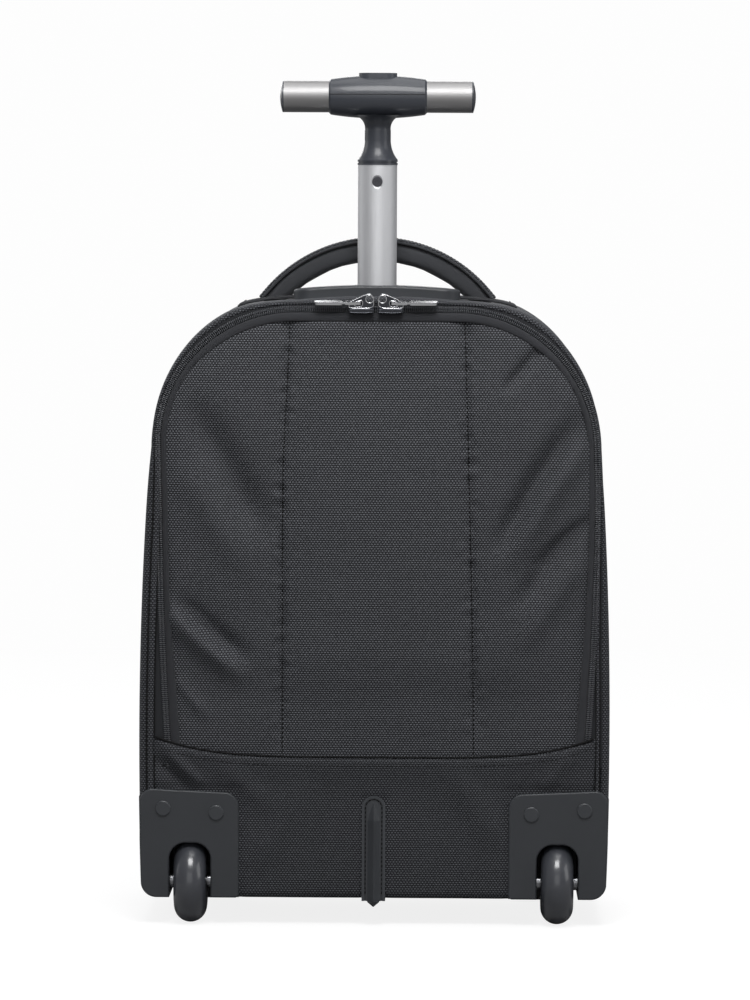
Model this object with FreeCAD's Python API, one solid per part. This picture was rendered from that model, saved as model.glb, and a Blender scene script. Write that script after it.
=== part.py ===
import FreeCAD, Part

import math
import os

# Rolling laptop case. Millimetres, +Z up, origin on the floor under the middle of the case.
# The wheel side faces -Y, the main compartment opens towards +Y.

V = FreeCAD.Vector

# ---- case body -------------------------------------------------------------------------
BODY_LOW = 21.0            # underside of the case above the floor
REAR_Y = -95.0             # rear plane, on the wheel side
FRONT_Y = 80.0             # front plane of the main compartment
WALL = 2.5                 # fabric wall with its lining
BASE_HALF = 178.0          # half width just above the bottom corners
BELT_HALF = 180.0          # largest half width
BELT_Z = 150.0
SHOULDER_HALF = 172.0      # half width where the shoulders start to curve in
SHOULDER_Z = 366.0
SHOULDER_X = 60.0          # centre of the shoulder arcs
CROWN_RISE = 3.0           # the crown between the shoulders is slightly arched
CORNER_RADIUS = 12.0
SHOULDER_RADIUS = SHOULDER_HALF - SHOULDER_X
CROWN_Z = SHOULDER_Z + SHOULDER_RADIUS
SPLIT_Z = BODY_LOW + CORNER_RADIUS

# ---- zipper line round both openings ---------------------------------------------------
ZIP_ARC_X = 62.0
ZIP_RADIUS = 105.3
ZIP_HALF = ZIP_ARC_X + ZIP_RADIUS
ZIP_WAIST_HALF = 165.5
ZIP_END_HALF = 159.0
ZIP_TOP = SHOULDER_Z + ZIP_RADIUS
COIL_HALF = 3.2            # one tape and its half of the coil
COIL_GAP = 0.1
REAR_HINGE_Z = 141.0       # lower edge of the rear flap
FRONT_HINGE_Z = 60.0       # lower edge of the main lid
FLAP_THICK = 3.7
SEAM_GAP = 0.3

# ---- trolley ---------------------------------------------------------------------------
TROLLEY_Y = -53.0
OUTER_R = 19.0
OUTER_BORE = 17.6
MIDDLE_R = 17.3
MIDDLE_BORE = 15.6
INNER_R = 15.0
INNER_BORE = 13.5
OUTER_LOW = 34.0
OUTER_TOP = 477.5
MIDDLE_LOW = 44.0
MIDDLE_TOP = 476.0
INNER_LOW = 151.0
INNER_TOP = 581.0
BOLT_R = 3.0
BOLT_BORE = 3.08
SLOT_HALF = 3.3
INNER_BOLT_Z = 163.0
MIDDLE_BOLT_Z = 52.0
MIDDLE_TRAVEL = 235.0
INNER_DOWN = 90.0
INNER_UP = 145.0

# ---- T-grip ----------------------------------------------------------------------------
GRIP_Z = 633.0
BAR_R = 12.0
BAR_BORE = 10.2
BAR_HALF = 72.0
GRIP_HALF = 75.0
HUB_HALF = 37.5
HUB_END_R = 13.75
HUB_MID_R = 16.5
SEAM_Z = GRIP_Z + 1.8
BUTTON_FOOT = 648.8
BUTTON_TOP = 650.8
RING_TOP = 651.2
SCREW_Z = 568.0
SCREW_SUNK = 0.5
SCREW_FACE_Y = TROLLEY_Y - INNER_R + SCREW_SUNK
SCREW_HEAD_R = 3.8
SCREW_HEAD_LONG = 2.5
SCREW_SHANK_R = 1.8
SCREW_SHANK_LONG = 5.5
SCREW_DIMPLE_R = 5.2
CROSS_LONG = 2.2
CROSS_WIDE = 0.5

# ---- bezel and carry handle ------------------------------------------------------------
BEZEL_HALF = 64.0
BEZEL_DEPTH = 40.0
BEZEL_TOP = 489.0
BEZEL_END_TOP = 485.5
HANDLE_HALF = 92.0
HANDLE_TOP = 526.0
HANDLE_INNER_HALF = 62.0
HANDLE_INNER_TOP = 507.0
HANDLE_BASE = 480.5
HANDLE_Y0 = -28.0
HANDLE_Y1 = 0.0

# ---- wheels, guards and feet -----------------------------------------------------------
WHEEL_R = 32.0
WHEEL_HALF = 12.5
WHEEL_X = 140.5
AXLE_Y = -80.0
AXLE_R = 3.0
CORE_R = 14.0
CORE_BORE = 3.08
ARCH_HALF = 15.8
WASHER_R = 5.2
ARCH_TOP = 63.0
WELL_TOP = 68.0
WELL_END_Y = -44.0
WELL_WALL = 2.0
GUARD_INNER = 103.0
GUARD_TOP = 105.0
GUARD_INNER_TOP = 101.5
GUARD_FACE_Y = -99.0
GUARD_EDGE = 1.4           # rounded edge all round the face and the arch
GUARD_CORNER = 11.0        # rounded upper corners
GUARD_WRAP_Y = -58.0
GUARD_BOTTOM_Y = -40.0
RIVET_R = 5.85
STRIP_HALF = 9.0
STRIP_TOP = 100.0
STRIP_SKIN = 3.6           # flange proud of the rear face
STRIP_UNDER = 1.8
STRIP_BORDER = 2.0         # rim outside the sewing groove
STRIP_GROOVE = 1.4
RIB_HALF = 4.7
RIB_DROP = 4.7
RIB_TOP = 96.0
RIB_TIP = 15.0             # length over which the keel runs out to a point
FOOT_X = 128.0
FOOT_Y = 60.0

# ---- inside ----------------------------------------------------------------------------
BOARD_Y = -75.0
BOARD_THICK = 2.0
DIVIDER_Y = -33.0
PAD_Y = -8.0
TRAY_Z = BODY_LOW + WALL
TRAY_THICK = 2.5
FLOOR_Z = TRAY_Z + TRAY_THICK

# ---- front pocket ----------------------------------------------------------------------
POCKET_HALF = 140.0
POCKET_LOW = 78.0
POCKET_TOP = 332.0
POCKET_RADIUS = 30.0
POCKET_RING_Y = 104.0
PANEL_THICK = 4.0
FRONT_LIMIT = 112.0        # foremost point, level with the wheels at the back

parts = {}


# ---- small helpers ---------------------------------------------------------------------
def at(x, z):
    return V(x, 0, z)


def box(x0, x1, y0, y1, z0, z1):
    return Part.makeBox(x1 - x0, y1 - y0, z1 - z0, V(x0, y0, z0))


def rod(radius, start, end):
    run = end - start
    return Part.makeCylinder(radius, run.Length, start, run)


def line(a, b):
    return Part.LineSegment(a, b).toShape()


def arc(a, b, c):
    return Part.Arc(a, b, c).toShape()


def slab(wire, y0, y1):
    """Solid with a flat outline in X and Z, from y0 to y1."""
    face = Part.Face(wire)
    face.translate(V(0, y0, 0))
    return face.extrude(V(0, y1 - y0, 0))


def rounded(points, radii):
    """Closed wire through the points, each corner rounded to its radius."""
    edges = []
    count = len(points)
    trims = []
    for index, corner in enumerate(points):
        before = (points[index - 1] - corner).normalize()
        after = (points[(index + 1) % count] - corner).normalize()
        half = before.getAngle(after) / 2
        reach = radii[index] / math.tan(half)
        middle = (before + after).normalize()
        depth = radii[index] / math.sin(half) - radii[index]
        trims.append((corner + before * reach, corner + middle * depth, corner + after * reach))
    for index, (start, middle, end) in enumerate(trims):
        if radii[index] > 0:
            edges.append(arc(start, middle, end))
        edges.append(line(end, trims[(index + 1) % count][0]))
    return Part.Wire(edges)


def mirrored(shape):
    return shape.mirror(V(0, 0, 0), V(1, 0, 0))


def group(shapes):
    return Part.makeCompound(shapes)


def turned(profile, centre, axis):
    """Solid of revolution of a closed wire."""
    return Part.Face(profile).revolve(centre, axis, 360)


def save(name, shape):
    parts[name] = shape


# ---- outlines --------------------------------------------------------------------------
def case_outline(inset):
    """Outline of the case seen from the wheel side, moved inwards by inset."""
    low = BODY_LOW + inset
    radius = CORNER_RADIUS - inset
    base = BASE_HALF - inset
    belt = BELT_HALF - inset
    shoulder = SHOULDER_HALF - inset
    bend = SHOULDER_RADIUS - inset
    diagonal = bend * math.sqrt(0.5)
    corner = radius * (1 - math.sqrt(0.5))
    top = CROWN_Z - inset
    edges = [line(at(radius - base, low), at(base - radius, low))]
    edges.append(arc(at(base - radius, low), at(base - corner, low + corner), at(base, SPLIT_Z)))
    edges.append(arc(at(base, SPLIT_Z), at(belt, BELT_Z), at(shoulder, SHOULDER_Z)))
    crest = at(SHOULDER_X + diagonal, SHOULDER_Z + diagonal)
    edges.append(arc(at(shoulder, SHOULDER_Z), crest, at(SHOULDER_X, top)))
    edges.append(arc(at(SHOULDER_X, top), at(0, top + CROWN_RISE), at(-SHOULDER_X, top)))
    crest = at(-SHOULDER_X - diagonal, SHOULDER_Z + diagonal)
    edges.append(arc(at(-SHOULDER_X, top), crest, at(-shoulder, SHOULDER_Z)))
    edges.append(arc(at(-shoulder, SHOULDER_Z), at(-belt, BELT_Z), at(-base, SPLIT_Z)))
    edges.append(arc(at(-base, SPLIT_Z), at(corner - base, low + corner), at(radius - base, low)))
    return Part.Wire(edges)


def zip_outline(grow, low, end_half, waist_half):
    """Outline of the zipper line moved outwards by grow, closed straight across at low."""
    half = ZIP_HALF + grow
    radius = ZIP_RADIUS + grow
    diagonal = radius * math.sqrt(0.5)
    top = ZIP_TOP + grow
    waist = at(waist_half + grow, (low + SHOULDER_Z) / 2)
    end = end_half + grow
    edges = [line(at(-end, low), at(end, low))]
    edges.append(arc(at(end, low), waist, at(half, SHOULDER_Z)))
    crest = at(ZIP_ARC_X + diagonal, SHOULDER_Z + diagonal)
    edges.append(arc(at(half, SHOULDER_Z), crest, at(ZIP_ARC_X, top)))
    edges.append(line(at(ZIP_ARC_X, top), at(-ZIP_ARC_X, top)))
    crest = at(-ZIP_ARC_X - diagonal, SHOULDER_Z + diagonal)
    edges.append(arc(at(-ZIP_ARC_X, top), crest, at(-half, SHOULDER_Z)))
    edges.append(arc(at(-half, SHOULDER_Z), at(-waist.x, waist.z), at(-end, low)))
    return Part.Wire(edges)


def rear_zip(grow, low=REAR_HINGE_Z):
    return zip_outline(grow, low, ZIP_END_HALF, ZIP_WAIST_HALF)


def front_zip(grow, low=FRONT_HINGE_Z):
    return zip_outline(grow, low, ZIP_HALF - 2, ZIP_HALF + 1)


# ---- fabric shell ----------------------------------------------------------------------
def wall_ring(y0, y1):
    return slab(case_outline(0), y0, y1).cut(slab(case_outline(WALL), y0 - 1, y1 + 1))


def border(opening, y0, low):
    """Flat rim of the shell between its outer edge and a zipper opening, above low."""
    rim = slab(case_outline(0), y0, y0 + WALL).cut(slab(opening, y0 - 1, y0 + WALL + 1))
    return rim.common(box(-200, 200, y0 - 1, y0 + WALL + 1, low, 500))


def guard_shoulder(half, y0, y1):
    """Everything below a guard's rounded outer top corner."""
    corners = [at(0, 0), at(half, 0), at(half, GUARD_TOP), at(0, GUARD_TOP)]
    return slab(rounded(corners, [0, 0, GUARD_CORNER, 0]), y0, y1)


def guard_region(side):
    """Space that a wheel guard takes up in the fabric shell."""
    low = box(GUARD_INNER, 200, REAR_Y - 10, GUARD_WRAP_Y, 0, GUARD_TOP)
    low = low.common(guard_shoulder(BELT_HALF + 0.5, REAR_Y - 10, GUARD_WRAP_Y))
    base = box(GUARD_INNER, 200, REAR_Y - 10, GUARD_BOTTOM_Y, 0, BODY_LOW + WALL)
    region = low.fuse(base)
    return region if side > 0 else mirrored(region)


def bezel_hole():
    return rod(OUTER_R, V(0, TROLLEY_Y, 400), V(0, TROLLEY_Y, 520))


def fabric_shell():
    ring = wall_ring(REAR_Y, FRONT_Y)
    rear = border(rear_zip(COIL_HALF), REAR_Y, REAR_HINGE_Z)
    front = border(front_zip(COIL_HALF), FRONT_Y - WALL, FRONT_HINGE_Z)
    shell = ring.fuse([rear, front])
    crown = shell.common(box(-200, 200, -120, 120, SHOULDER_Z, 500))
    save("crown_gusset", crown.cut(bezel_hole()))
    right = shell.common(box(0, 200, -120, 120, SPLIT_Z, SHOULDER_Z)).cut(guard_region(1))
    save("side_gusset_right", right)
    save("side_gusset_left", mirrored(right))
    bottom = ring.common(box(-200, 200, -120, 120, 0, SPLIT_Z))
    rise = slab(case_outline(WALL), FRONT_Y - WALL, FRONT_Y)
    rise = rise.common(box(-200, 200, 0, 120, 0, FRONT_HINGE_Z - 0.5))
    bottom = bottom.fuse(rise).cut(guard_region(1)).cut(guard_region(-1))
    save("bottom_panel", bottom)
    lower = slab(case_outline(WALL), REAR_Y, REAR_Y + WALL)
    lower = lower.common(box(-200, 200, -120, 120, 0, REAR_HINGE_Z - 0.5))
    for side in (-1, 1):
        lower = lower.cut(well_block(side))
    save("rear_lower_panel", lower)


def zip_band(outer, inner, y0, y1, low):
    band = slab(outer, y0, y1).cut(slab(inner, y0 - 1, y1 + 1))
    return band.common(box(-200, 200, y0 - 1, y1 + 1, low, 500))


def zip_tapes():
    rear_y = (REAR_Y - 1.5, REAR_Y + 1.5)
    front_y = (FRONT_Y - 1.5, FRONT_Y + 1.5)
    rear_low = REAR_HINGE_Z + 1.5
    front_low = FRONT_HINGE_Z + 1.5
    fixed = zip_band(rear_zip(COIL_HALF), rear_zip(COIL_GAP), *rear_y, rear_low)
    fixed_front = zip_band(front_zip(COIL_HALF), front_zip(COIL_GAP), *front_y, front_low)
    ring = wall_ring(REAR_Y - 5, FRONT_Y + 5)
    save("case_zip_tapes", group([fixed.cut(ring), fixed_front.cut(ring)]))
    flap = zip_band(rear_zip(-COIL_GAP), rear_zip(-COIL_HALF), *rear_y, rear_low)
    save("rear_flap_zip", flap)
    lid = zip_band(front_zip(-COIL_GAP), front_zip(-COIL_HALF), *front_y, front_low)
    save("lid_zip", lid)


def flaps():
    flap = slab(rear_zip(-COIL_HALF), REAR_Y - SEAM_GAP - FLAP_THICK, REAR_Y - SEAM_GAP)
    keep = box(-200, 200, -120, 0, REAR_HINGE_Z + 1, 500)
    save("rear_flap", flap.common(keep))
    lid = slab(front_zip(-COIL_HALF), FRONT_Y + SEAM_GAP, FRONT_Y + SEAM_GAP + FLAP_THICK)
    keep = box(-200, 200, 0, 120, FRONT_HINGE_Z + 1, 500)
    save("lid_panel", lid.common(keep))


# ---- front pocket ----------------------------------------------------------------------
def pocket_outline(inset):
    half = POCKET_HALF - inset
    low = POCKET_LOW + inset
    top = POCKET_TOP - inset
    corners = [at(-half, low), at(half, low), at(half, top), at(-half, top)]
    return rounded(corners, [POCKET_RADIUS - inset] * 4)


def front_pocket():
    base_y = FRONT_Y + SEAM_GAP + FLAP_THICK
    ring = slab(pocket_outline(0), base_y, POCKET_RING_Y)
    save("pocket_ring", ring.cut(slab(pocket_outline(WALL), base_y - 1, POCKET_RING_Y + 1)))
    panel_y = POCKET_RING_Y + SEAM_GAP
    save("pocket_panel", slab(pocket_outline(0), panel_y, panel_y + PANEL_THICK))
    body = box(84, 98, panel_y - 1, panel_y + 7.3, POCKET_TOP + 0.4, POCKET_TOP + 5)
    pull = box(88, 94, panel_y + PANEL_THICK + 0.4, panel_y + 6, POCKET_TOP - 26, POCKET_TOP + 0.4)
    nose = box(85, 97, FRONT_LIMIT - 4, FRONT_LIMIT, POCKET_TOP + 1, POCKET_TOP + 4)
    save("pocket_slider", body.fuse([pull, nose]))


# ---- inside pieces ---------------------------------------------------------------------
def well_block(side):
    """Outer block of one wheel well."""
    centre = side * WHEEL_X
    half = ARCH_HALF + WELL_WALL
    front = WELL_END_Y + WELL_WALL
    return box(centre - half, centre + half, REAR_Y, front, BODY_LOW, WELL_TOP + WELL_WALL)


def stiff_inside():
    board = slab(case_outline(6), BOARD_Y, BOARD_Y + BOARD_THICK)
    high = box(-200, 200, -120, 0, WELL_TOP + WELL_WALL + 2, 500)
    low = box(-GUARD_INNER + 5, GUARD_INNER - 5, -120, 0, FLOOR_Z, 500)
    save("frame_board", board.common(high.fuse(low)))
    pad = slab(case_outline(14), BOARD_Y - 5, BOARD_Y - 0.5)
    save("back_pad", pad.common(box(-200, 200, -120, 0, 110, 455)))
    divider = slab(case_outline(4), DIVIDER_Y, DIVIDER_Y + 2)
    save("inner_divider", divider.common(box(-200, 200, -120, 0, FLOOR_Z, 500)))
    corners = [at(-162, FLOOR_Z), at(162, FLOOR_Z), at(162, 330), at(-162, 330)]
    save("laptop_pad", slab(rounded(corners, [2, 2, 20, 20]), PAD_Y, PAD_Y + 5))
    tray = box(-166, 166, BOARD_Y, FRONT_Y - WALL - 0.5, TRAY_Z, FLOOR_Z)
    for side in (-1, 1):
        centre = side * (GUARD_INNER + 40)
        tray = tray.cut(box(centre - 45, centre + 45, -120, GUARD_BOTTOM_Y, 0, 50))
    for screw in foot_screw_shapes():
        tray = tray.cut(screw)
    save("base_tray", tray)


def shoulder_harness():
    straps = []
    webs = []
    locks = []
    for side in (-1, 1):
        corners = [at(28, 215), at(84, 215), at(84, 440), at(28, 440)]
        strap = slab(rounded(corners, [8, 8, 22, 22]), REAR_Y + 4.5, REAR_Y + 14)
        web = box(44, 69, REAR_Y + 11, REAR_Y + 12.6, 150, 214.5)
        lock = box(41, 72, REAR_Y + 8, REAR_Y + 14, 190, 208)
        lock = lock.cut(box(44, 69, REAR_Y + 7, REAR_Y + 15, 192.5, 205.5))
        bar = box(41, 72, REAR_Y + 8.4, REAR_Y + 10.6, 197, 201)
        lock = lock.fuse(bar).cut(web)
        pieces = [strap, web, lock]
        if side < 0:
            pieces = [mirrored(piece) for piece in pieces]
        straps.append(pieces[0])
        webs.append(pieces[1])
        locks.append(pieces[2])
    save("shoulder_straps", group(straps))
    save("strap_webbing", group(webs))
    save("ladder_locks", group(locks))


# ---- trolley tubes ---------------------------------------------------------------------
def tube(outer, inner, low, high):
    wall = rod(outer, V(0, TROLLEY_Y, low), V(0, TROLLEY_Y, high))
    return wall.cut(rod(inner, V(0, TROLLEY_Y, low - 1), V(0, TROLLEY_Y, high + 1)))


def key_slot(inner, outer, low, high):
    return box(inner - 0.5, outer + 0.5, TROLLEY_Y - SLOT_HALF, TROLLEY_Y + SLOT_HALF, low, high)


def bolt(x0, x1, z, radius):
    return rod(radius, V(x0, TROLLEY_Y, z), V(x1, TROLLEY_Y, z))


def trolley_tubes():
    outer = tube(OUTER_R, OUTER_BORE, OUTER_LOW, OUTER_TOP)
    slot_top = MIDDLE_BOLT_Z + MIDDLE_TRAVEL + 2 * SLOT_HALF
    save("outer_tube", outer.cut(key_slot(OUTER_BORE, OUTER_R, 47, slot_top)))
    middle = tube(MIDDLE_R, MIDDLE_BORE, MIDDLE_LOW, MIDDLE_TOP)
    low = INNER_BOLT_Z - INNER_DOWN - 2 * SLOT_HALF
    high = INNER_BOLT_Z + INNER_UP + 2 * SLOT_HALF
    middle = middle.cut(key_slot(MIDDLE_BORE, MIDDLE_R, low, high))
    middle = middle.cut(bolt(MIDDLE_BORE - 1, MIDDLE_R + 1, MIDDLE_BOLT_Z, SLOT_HALF))
    save("middle_tube", middle)
    save("middle_bush", tube(MIDDLE_R, INNER_R + 0.1, MIDDLE_TOP, MIDDLE_TOP + 8))
    inner = tube(INNER_R, INNER_BORE, INNER_LOW, INNER_TOP)
    inner = inner.cut(bolt(INNER_BORE - 1, INNER_R + 1, INNER_BOLT_Z, SLOT_HALF))
    inner = inner.cut(tube_screw_shape())
    dimple = Part.makeCone(SCREW_DIMPLE_R, SCREW_HEAD_R, 2 * SCREW_SUNK, V(0, SCREW_FACE_Y - SCREW_SUNK, SCREW_Z),
                           V(0, 1, 0))
    save("inner_tube", inner.cut(dimple))


def lock_parts():
    block = rod(MIDDLE_BORE - 0.1, V(0, TROLLEY_Y, MIDDLE_LOW), V(0, TROLLEY_Y, MIDDLE_LOW + 15))
    save("middle_lock_block", block.cut(bolt(1.5, 20, MIDDLE_BOLT_Z, BOLT_BORE)))
    save("middle_lock_bolt", bolt(5, OUTER_R - 0.8, MIDDLE_BOLT_Z, BOLT_R))
    block = rod(INNER_BORE, V(0, TROLLEY_Y, INNER_LOW), V(0, TROLLEY_Y, INNER_LOW + 30))
    block = block.cut(bolt(0.5, 20, INNER_BOLT_Z, BOLT_BORE))
    block = block.cut(rod(2.4, V(0, TROLLEY_Y, INNER_BOLT_Z + 5), V(0, TROLLEY_Y, INNER_TOP)))
    save("inner_lock_block", block)
    save("inner_lock_bolt", bolt(4, MIDDLE_R - 0.2, INNER_BOLT_Z, BOLT_R))


def foot_bracket():
    bracket = box(-32, 32, BOARD_Y + BOARD_THICK + 0.1, DIVIDER_Y - 0.1, FLOOR_Z, 47)
    socket = rod(OUTER_R, V(0, TROLLEY_Y, OUTER_LOW), V(0, TROLLEY_Y, 60))
    save("tube_foot_bracket", bracket.cut(socket))


# ---- T-grip ----------------------------------------------------------------------------
def tube_screw_shape():
    head_end = SCREW_FACE_Y + SCREW_HEAD_LONG
    head = rod(SCREW_HEAD_R, V(0, SCREW_FACE_Y, SCREW_Z), V(0, head_end, SCREW_Z))
    shank = rod(SCREW_SHANK_R, V(0, head_end, SCREW_Z), V(0, head_end + SCREW_SHANK_LONG, SCREW_Z))
    return head.fuse(shank)


def tube_screw():
    screw = tube_screw_shape()
    for wide, tall in ((CROSS_LONG, CROSS_WIDE), (CROSS_WIDE, CROSS_LONG)):
        recess = box(-wide, wide, SCREW_FACE_Y - 1, SCREW_FACE_Y + 1, SCREW_Z - tall, SCREW_Z + tall)
        screw = screw.cut(recess)
    save("tube_screw", screw)


def hub_solid():
    """Barrel round the grip bar, thickest in the middle."""
    edge = 1.5
    top = [V(-HUB_HALF, TROLLEY_Y, GRIP_Z + HUB_END_R - edge)]
    top.append(V(edge - HUB_HALF, TROLLEY_Y, GRIP_Z + HUB_END_R))
    crest = V(0, TROLLEY_Y, GRIP_Z + HUB_MID_R)
    start = V(-HUB_HALF, TROLLEY_Y, GRIP_Z)
    end = V(HUB_HALF, TROLLEY_Y, GRIP_Z)
    right = [V(HUB_HALF - edge, TROLLEY_Y, top[1].z), V(HUB_HALF, TROLLEY_Y, top[0].z)]
    edges = [line(start, top[0]), line(top[0], top[1]), arc(top[1], crest, right[0])]
    edges.append(line(right[0], right[1]))
    edges.append(line(right[1], end))
    edges.append(line(end, start))
    return turned(Part.Wire(edges), V(0, TROLLEY_Y, GRIP_Z), V(1, 0, 0))


def neck_solid():
    """Stem under the hub, waisted, flared to the tube's width at its foot."""
    def spot(radius, z):
        return V(radius, TROLLEY_Y, z)
    edges = [line(spot(0, INNER_TOP), spot(15.4, INNER_TOP))]
    edges.append(line(spot(15.4, INNER_TOP), spot(15.4, 585.0)))
    edges.append(arc(spot(15.4, 585.0), spot(11.6, 591.5), spot(10.0, 599.0)))
    edges.append(line(spot(10.0, 599.0), spot(10.0, 607.0)))
    edges.append(arc(spot(10.0, 607.0), spot(11.6, 614.5), spot(20.0, 619.0)))
    edges.append(line(spot(20.0, 619.0), spot(0, 619.0)))
    edges.append(line(spot(0, 619.0), spot(0, INNER_TOP)))
    neck = turned(Part.Wire(edges), spot(0, 0), V(0, 0, 1))
    return neck.cut(groove(15.4, 582.6))


def groove(radius, z):
    ring = rod(radius + 1, V(0, TROLLEY_Y, z), V(0, TROLLEY_Y, z + 0.8))
    return ring.cut(rod(radius - 0.7, V(0, TROLLEY_Y, z - 1), V(0, TROLLEY_Y, z + 2)))


def obround(half_long, half_wide, z0, z1):
    straight = half_long - half_wide
    body = box(-straight, straight, TROLLEY_Y - half_wide, TROLLEY_Y + half_wide, z0, z1)
    ends = [rod(half_wide, V(s * straight, TROLLEY_Y, z0), V(s * straight, TROLLEY_Y, z1)) for s in (-1, 1)]
    return body.fuse(ends).removeSplitter()


def t_grip():
    hub = hub_solid()
    bar_space = rod(BAR_R, V(-HUB_HALF - 1, TROLLEY_Y, GRIP_Z), V(HUB_HALF + 1, TROLLEY_Y, GRIP_Z))
    upper = box(-60, 60, -100, 0, SEAM_Z, 700)
    lower = hub.cut(upper).fuse(neck_solid())
    spigot = rod(INNER_BORE, V(0, TROLLEY_Y, 556), V(0, TROLLEY_Y, INNER_TOP))
    lower = lower.fuse(spigot).cut(bar_space).cut(tube_screw_shape())
    lower = lower.cut(rod(2.4, V(0, TROLLEY_Y, 500), V(0, TROLLEY_Y, 640)))
    lower = lower.cut(rod(5.0, V(0, TROLLEY_Y, 600), V(0, TROLLEY_Y, 640)))
    save("grip_body", lower)
    window = obround(11.15, 6.15, 640, 660)
    cover = hub.common(upper).cut(bar_space)
    save("grip_cover", cover.cut(window))
    ring = obround(14.6, 9.0, 640, RING_TOP).cut(hub).cut(window)
    save("button_ring", ring)
    bar = rod(BAR_R, V(-BAR_HALF, TROLLEY_Y, GRIP_Z), V(BAR_HALF, TROLLEY_Y, GRIP_Z))
    bar = bar.cut(rod(BAR_BORE, V(-80, TROLLEY_Y, GRIP_Z), V(80, TROLLEY_Y, GRIP_Z)))
    save("grip_bar", bar.cut(rod(4.6, V(0, TROLLEY_Y, 600), V(0, TROLLEY_Y, 660))))
    save("end_caps", group([end_cap(), mirrored(end_cap())]))


def end_cap():
    """Domed plug in the end of the grip bar."""
    def spot(x, radius):
        return V(x, TROLLEY_Y, GRIP_Z + radius)
    rim = 1.0
    sag = GRIP_HALF - BAR_HALF - rim
    ball = (BAR_R ** 2 + sag ** 2) / (2 * sag)
    dome = rod(BAR_R, spot(BAR_HALF, 0), spot(GRIP_HALF + 1, 0))
    dome = dome.common(Part.makeSphere(ball, spot(GRIP_HALF - ball, 0)))
    return dome.fuse(rod(BAR_BORE, spot(BAR_HALF - 8, 0), spot(BAR_HALF, 0)))


def button_parts():
    press = obround(11.0, 6.0, BUTTON_FOOT, BUTTON_TOP)
    top_edges = [e for e in press.Edges if e.BoundBox.ZMin > BUTTON_TOP - 0.1]
    press = press.makeFillet(0.8, top_edges)
    stem = rod(4.0, V(0, TROLLEY_Y, 620), V(0, TROLLEY_Y, BUTTON_FOOT))
    save("push_button", press.fuse(stem))
    collar = rod(4.0, V(0, TROLLEY_Y, 617), V(0, TROLLEY_Y, 620))
    shaft = rod(2.0, V(0, TROLLEY_Y, INNER_BOLT_Z + 10), V(0, TROLLEY_Y, 617))
    save("push_rod", collar.fuse(shaft))
    helix = Part.makeHelix(2.4, 15.6, 3.4)
    start = Part.Wire([Part.Circle(V(3.4, 0, 0), V(0, 1, 0.11), 0.45).toShape()])
    coil = Part.Wire(helix).makePipeShell([start], True, True)
    coil.translate(V(0, TROLLEY_Y, 600.7))
    save("button_spring", coil)


# ---- bezel and carry handle ------------------------------------------------------------
def bezel():
    half = BEZEL_HALF
    low = 465.0
    edges = [line(at(-half, low), at(half, low)), line(at(half, low), at(half, BEZEL_END_TOP))]
    edges.append(arc(at(half, BEZEL_END_TOP), at(0, BEZEL_TOP), at(-half, BEZEL_END_TOP)))
    edges.append(line(at(-half, BEZEL_END_TOP), at(-half, low)))
    block = slab(Part.Wire(edges), TROLLEY_Y - BEZEL_DEPTH / 2, TROLLEY_Y + BEZEL_DEPTH / 2)
    y0 = TROLLEY_Y - BEZEL_DEPTH / 2
    y1 = TROLLEY_Y + BEZEL_DEPTH / 2
    corners = [V(-half, y0, 0), V(half, y0, 0), V(half, y1, 0), V(-half, y1, 0)]
    plan = Part.Face(rounded(corners, [14.0] * 4)).extrude(V(0, 0, 600))
    block = block.common(plan)
    top_edges = [e for e in block.Edges if e.BoundBox.ZMin > BEZEL_END_TOP - 1]
    block = block.makeFillet(2.2, top_edges)
    block = block.cut(slab(case_outline(0), REAR_Y, FRONT_Y))
    block = block.cut(rod(OUTER_BORE, V(0, TROLLEY_Y, 400), V(0, TROLLEY_Y, 600)))
    for screw in bezel_screw_shapes():
        block = block.cut(screw)
    save("bezel", block)


def bezel_screw_shapes():
    shapes = []
    for side in (-1, 1):
        x = side * 44.0
        head = rod(3.5, V(x, TROLLEY_Y, 483.5), V(x, TROLLEY_Y, 485.8))
        shapes.append(head.fuse(rod(1.8, V(x, TROLLEY_Y, 480.5), V(x, TROLLEY_Y, 483.5))))
    return shapes


def foot_screw_shapes():
    shapes = []
    for side in (-1, 1):
        x = side * FOOT_X
        head = rod(4.5, V(x, FOOT_Y, FLOOR_Z), V(x, FOOT_Y, FLOOR_Z + 2.4))
        shapes.append(head.fuse(rod(2.0, V(x, FOOT_Y, 10), V(x, FOOT_Y, FLOOR_Z))))
    return shapes


def screws():
    save("case_screws", group(bezel_screw_shapes() + foot_screw_shapes()))


def carry_handle():
    outer = [at(-HANDLE_HALF, HANDLE_BASE), at(0, HANDLE_TOP), at(HANDLE_HALF, HANDLE_BASE)]
    inner = [at(HANDLE_INNER_HALF, HANDLE_BASE), at(0, HANDLE_INNER_TOP), at(-HANDLE_INNER_HALF, HANDLE_BASE)]
    edges = [arc(*outer), line(outer[2], inner[0]), arc(*inner), line(inner[2], outer[0])]
    save("carry_handle", slab(Part.Wire(edges), HANDLE_Y0, HANDLE_Y1))
    tab = slab(case_outline(-2.2), HANDLE_Y0 - 2, HANDLE_Y1 + 2)
    tab = tab.cut(slab(case_outline(0), -120, 120))
    right = tab.common(box(HANDLE_INNER_HALF, 108, -120, 120, 400, 600))
    save("handle_anchors", group([right, mirrored(right)]))


# ---- wheels and guards -----------------------------------------------------------------
def arch_outline(half, top):
    corners = [at(WHEEL_X - half, 0), at(WHEEL_X + half, 0)]
    corners += [at(WHEEL_X + half, top), at(WHEEL_X - half, top)]
    return rounded(corners, [0, 0, half * 0.8, half * 0.8])


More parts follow.
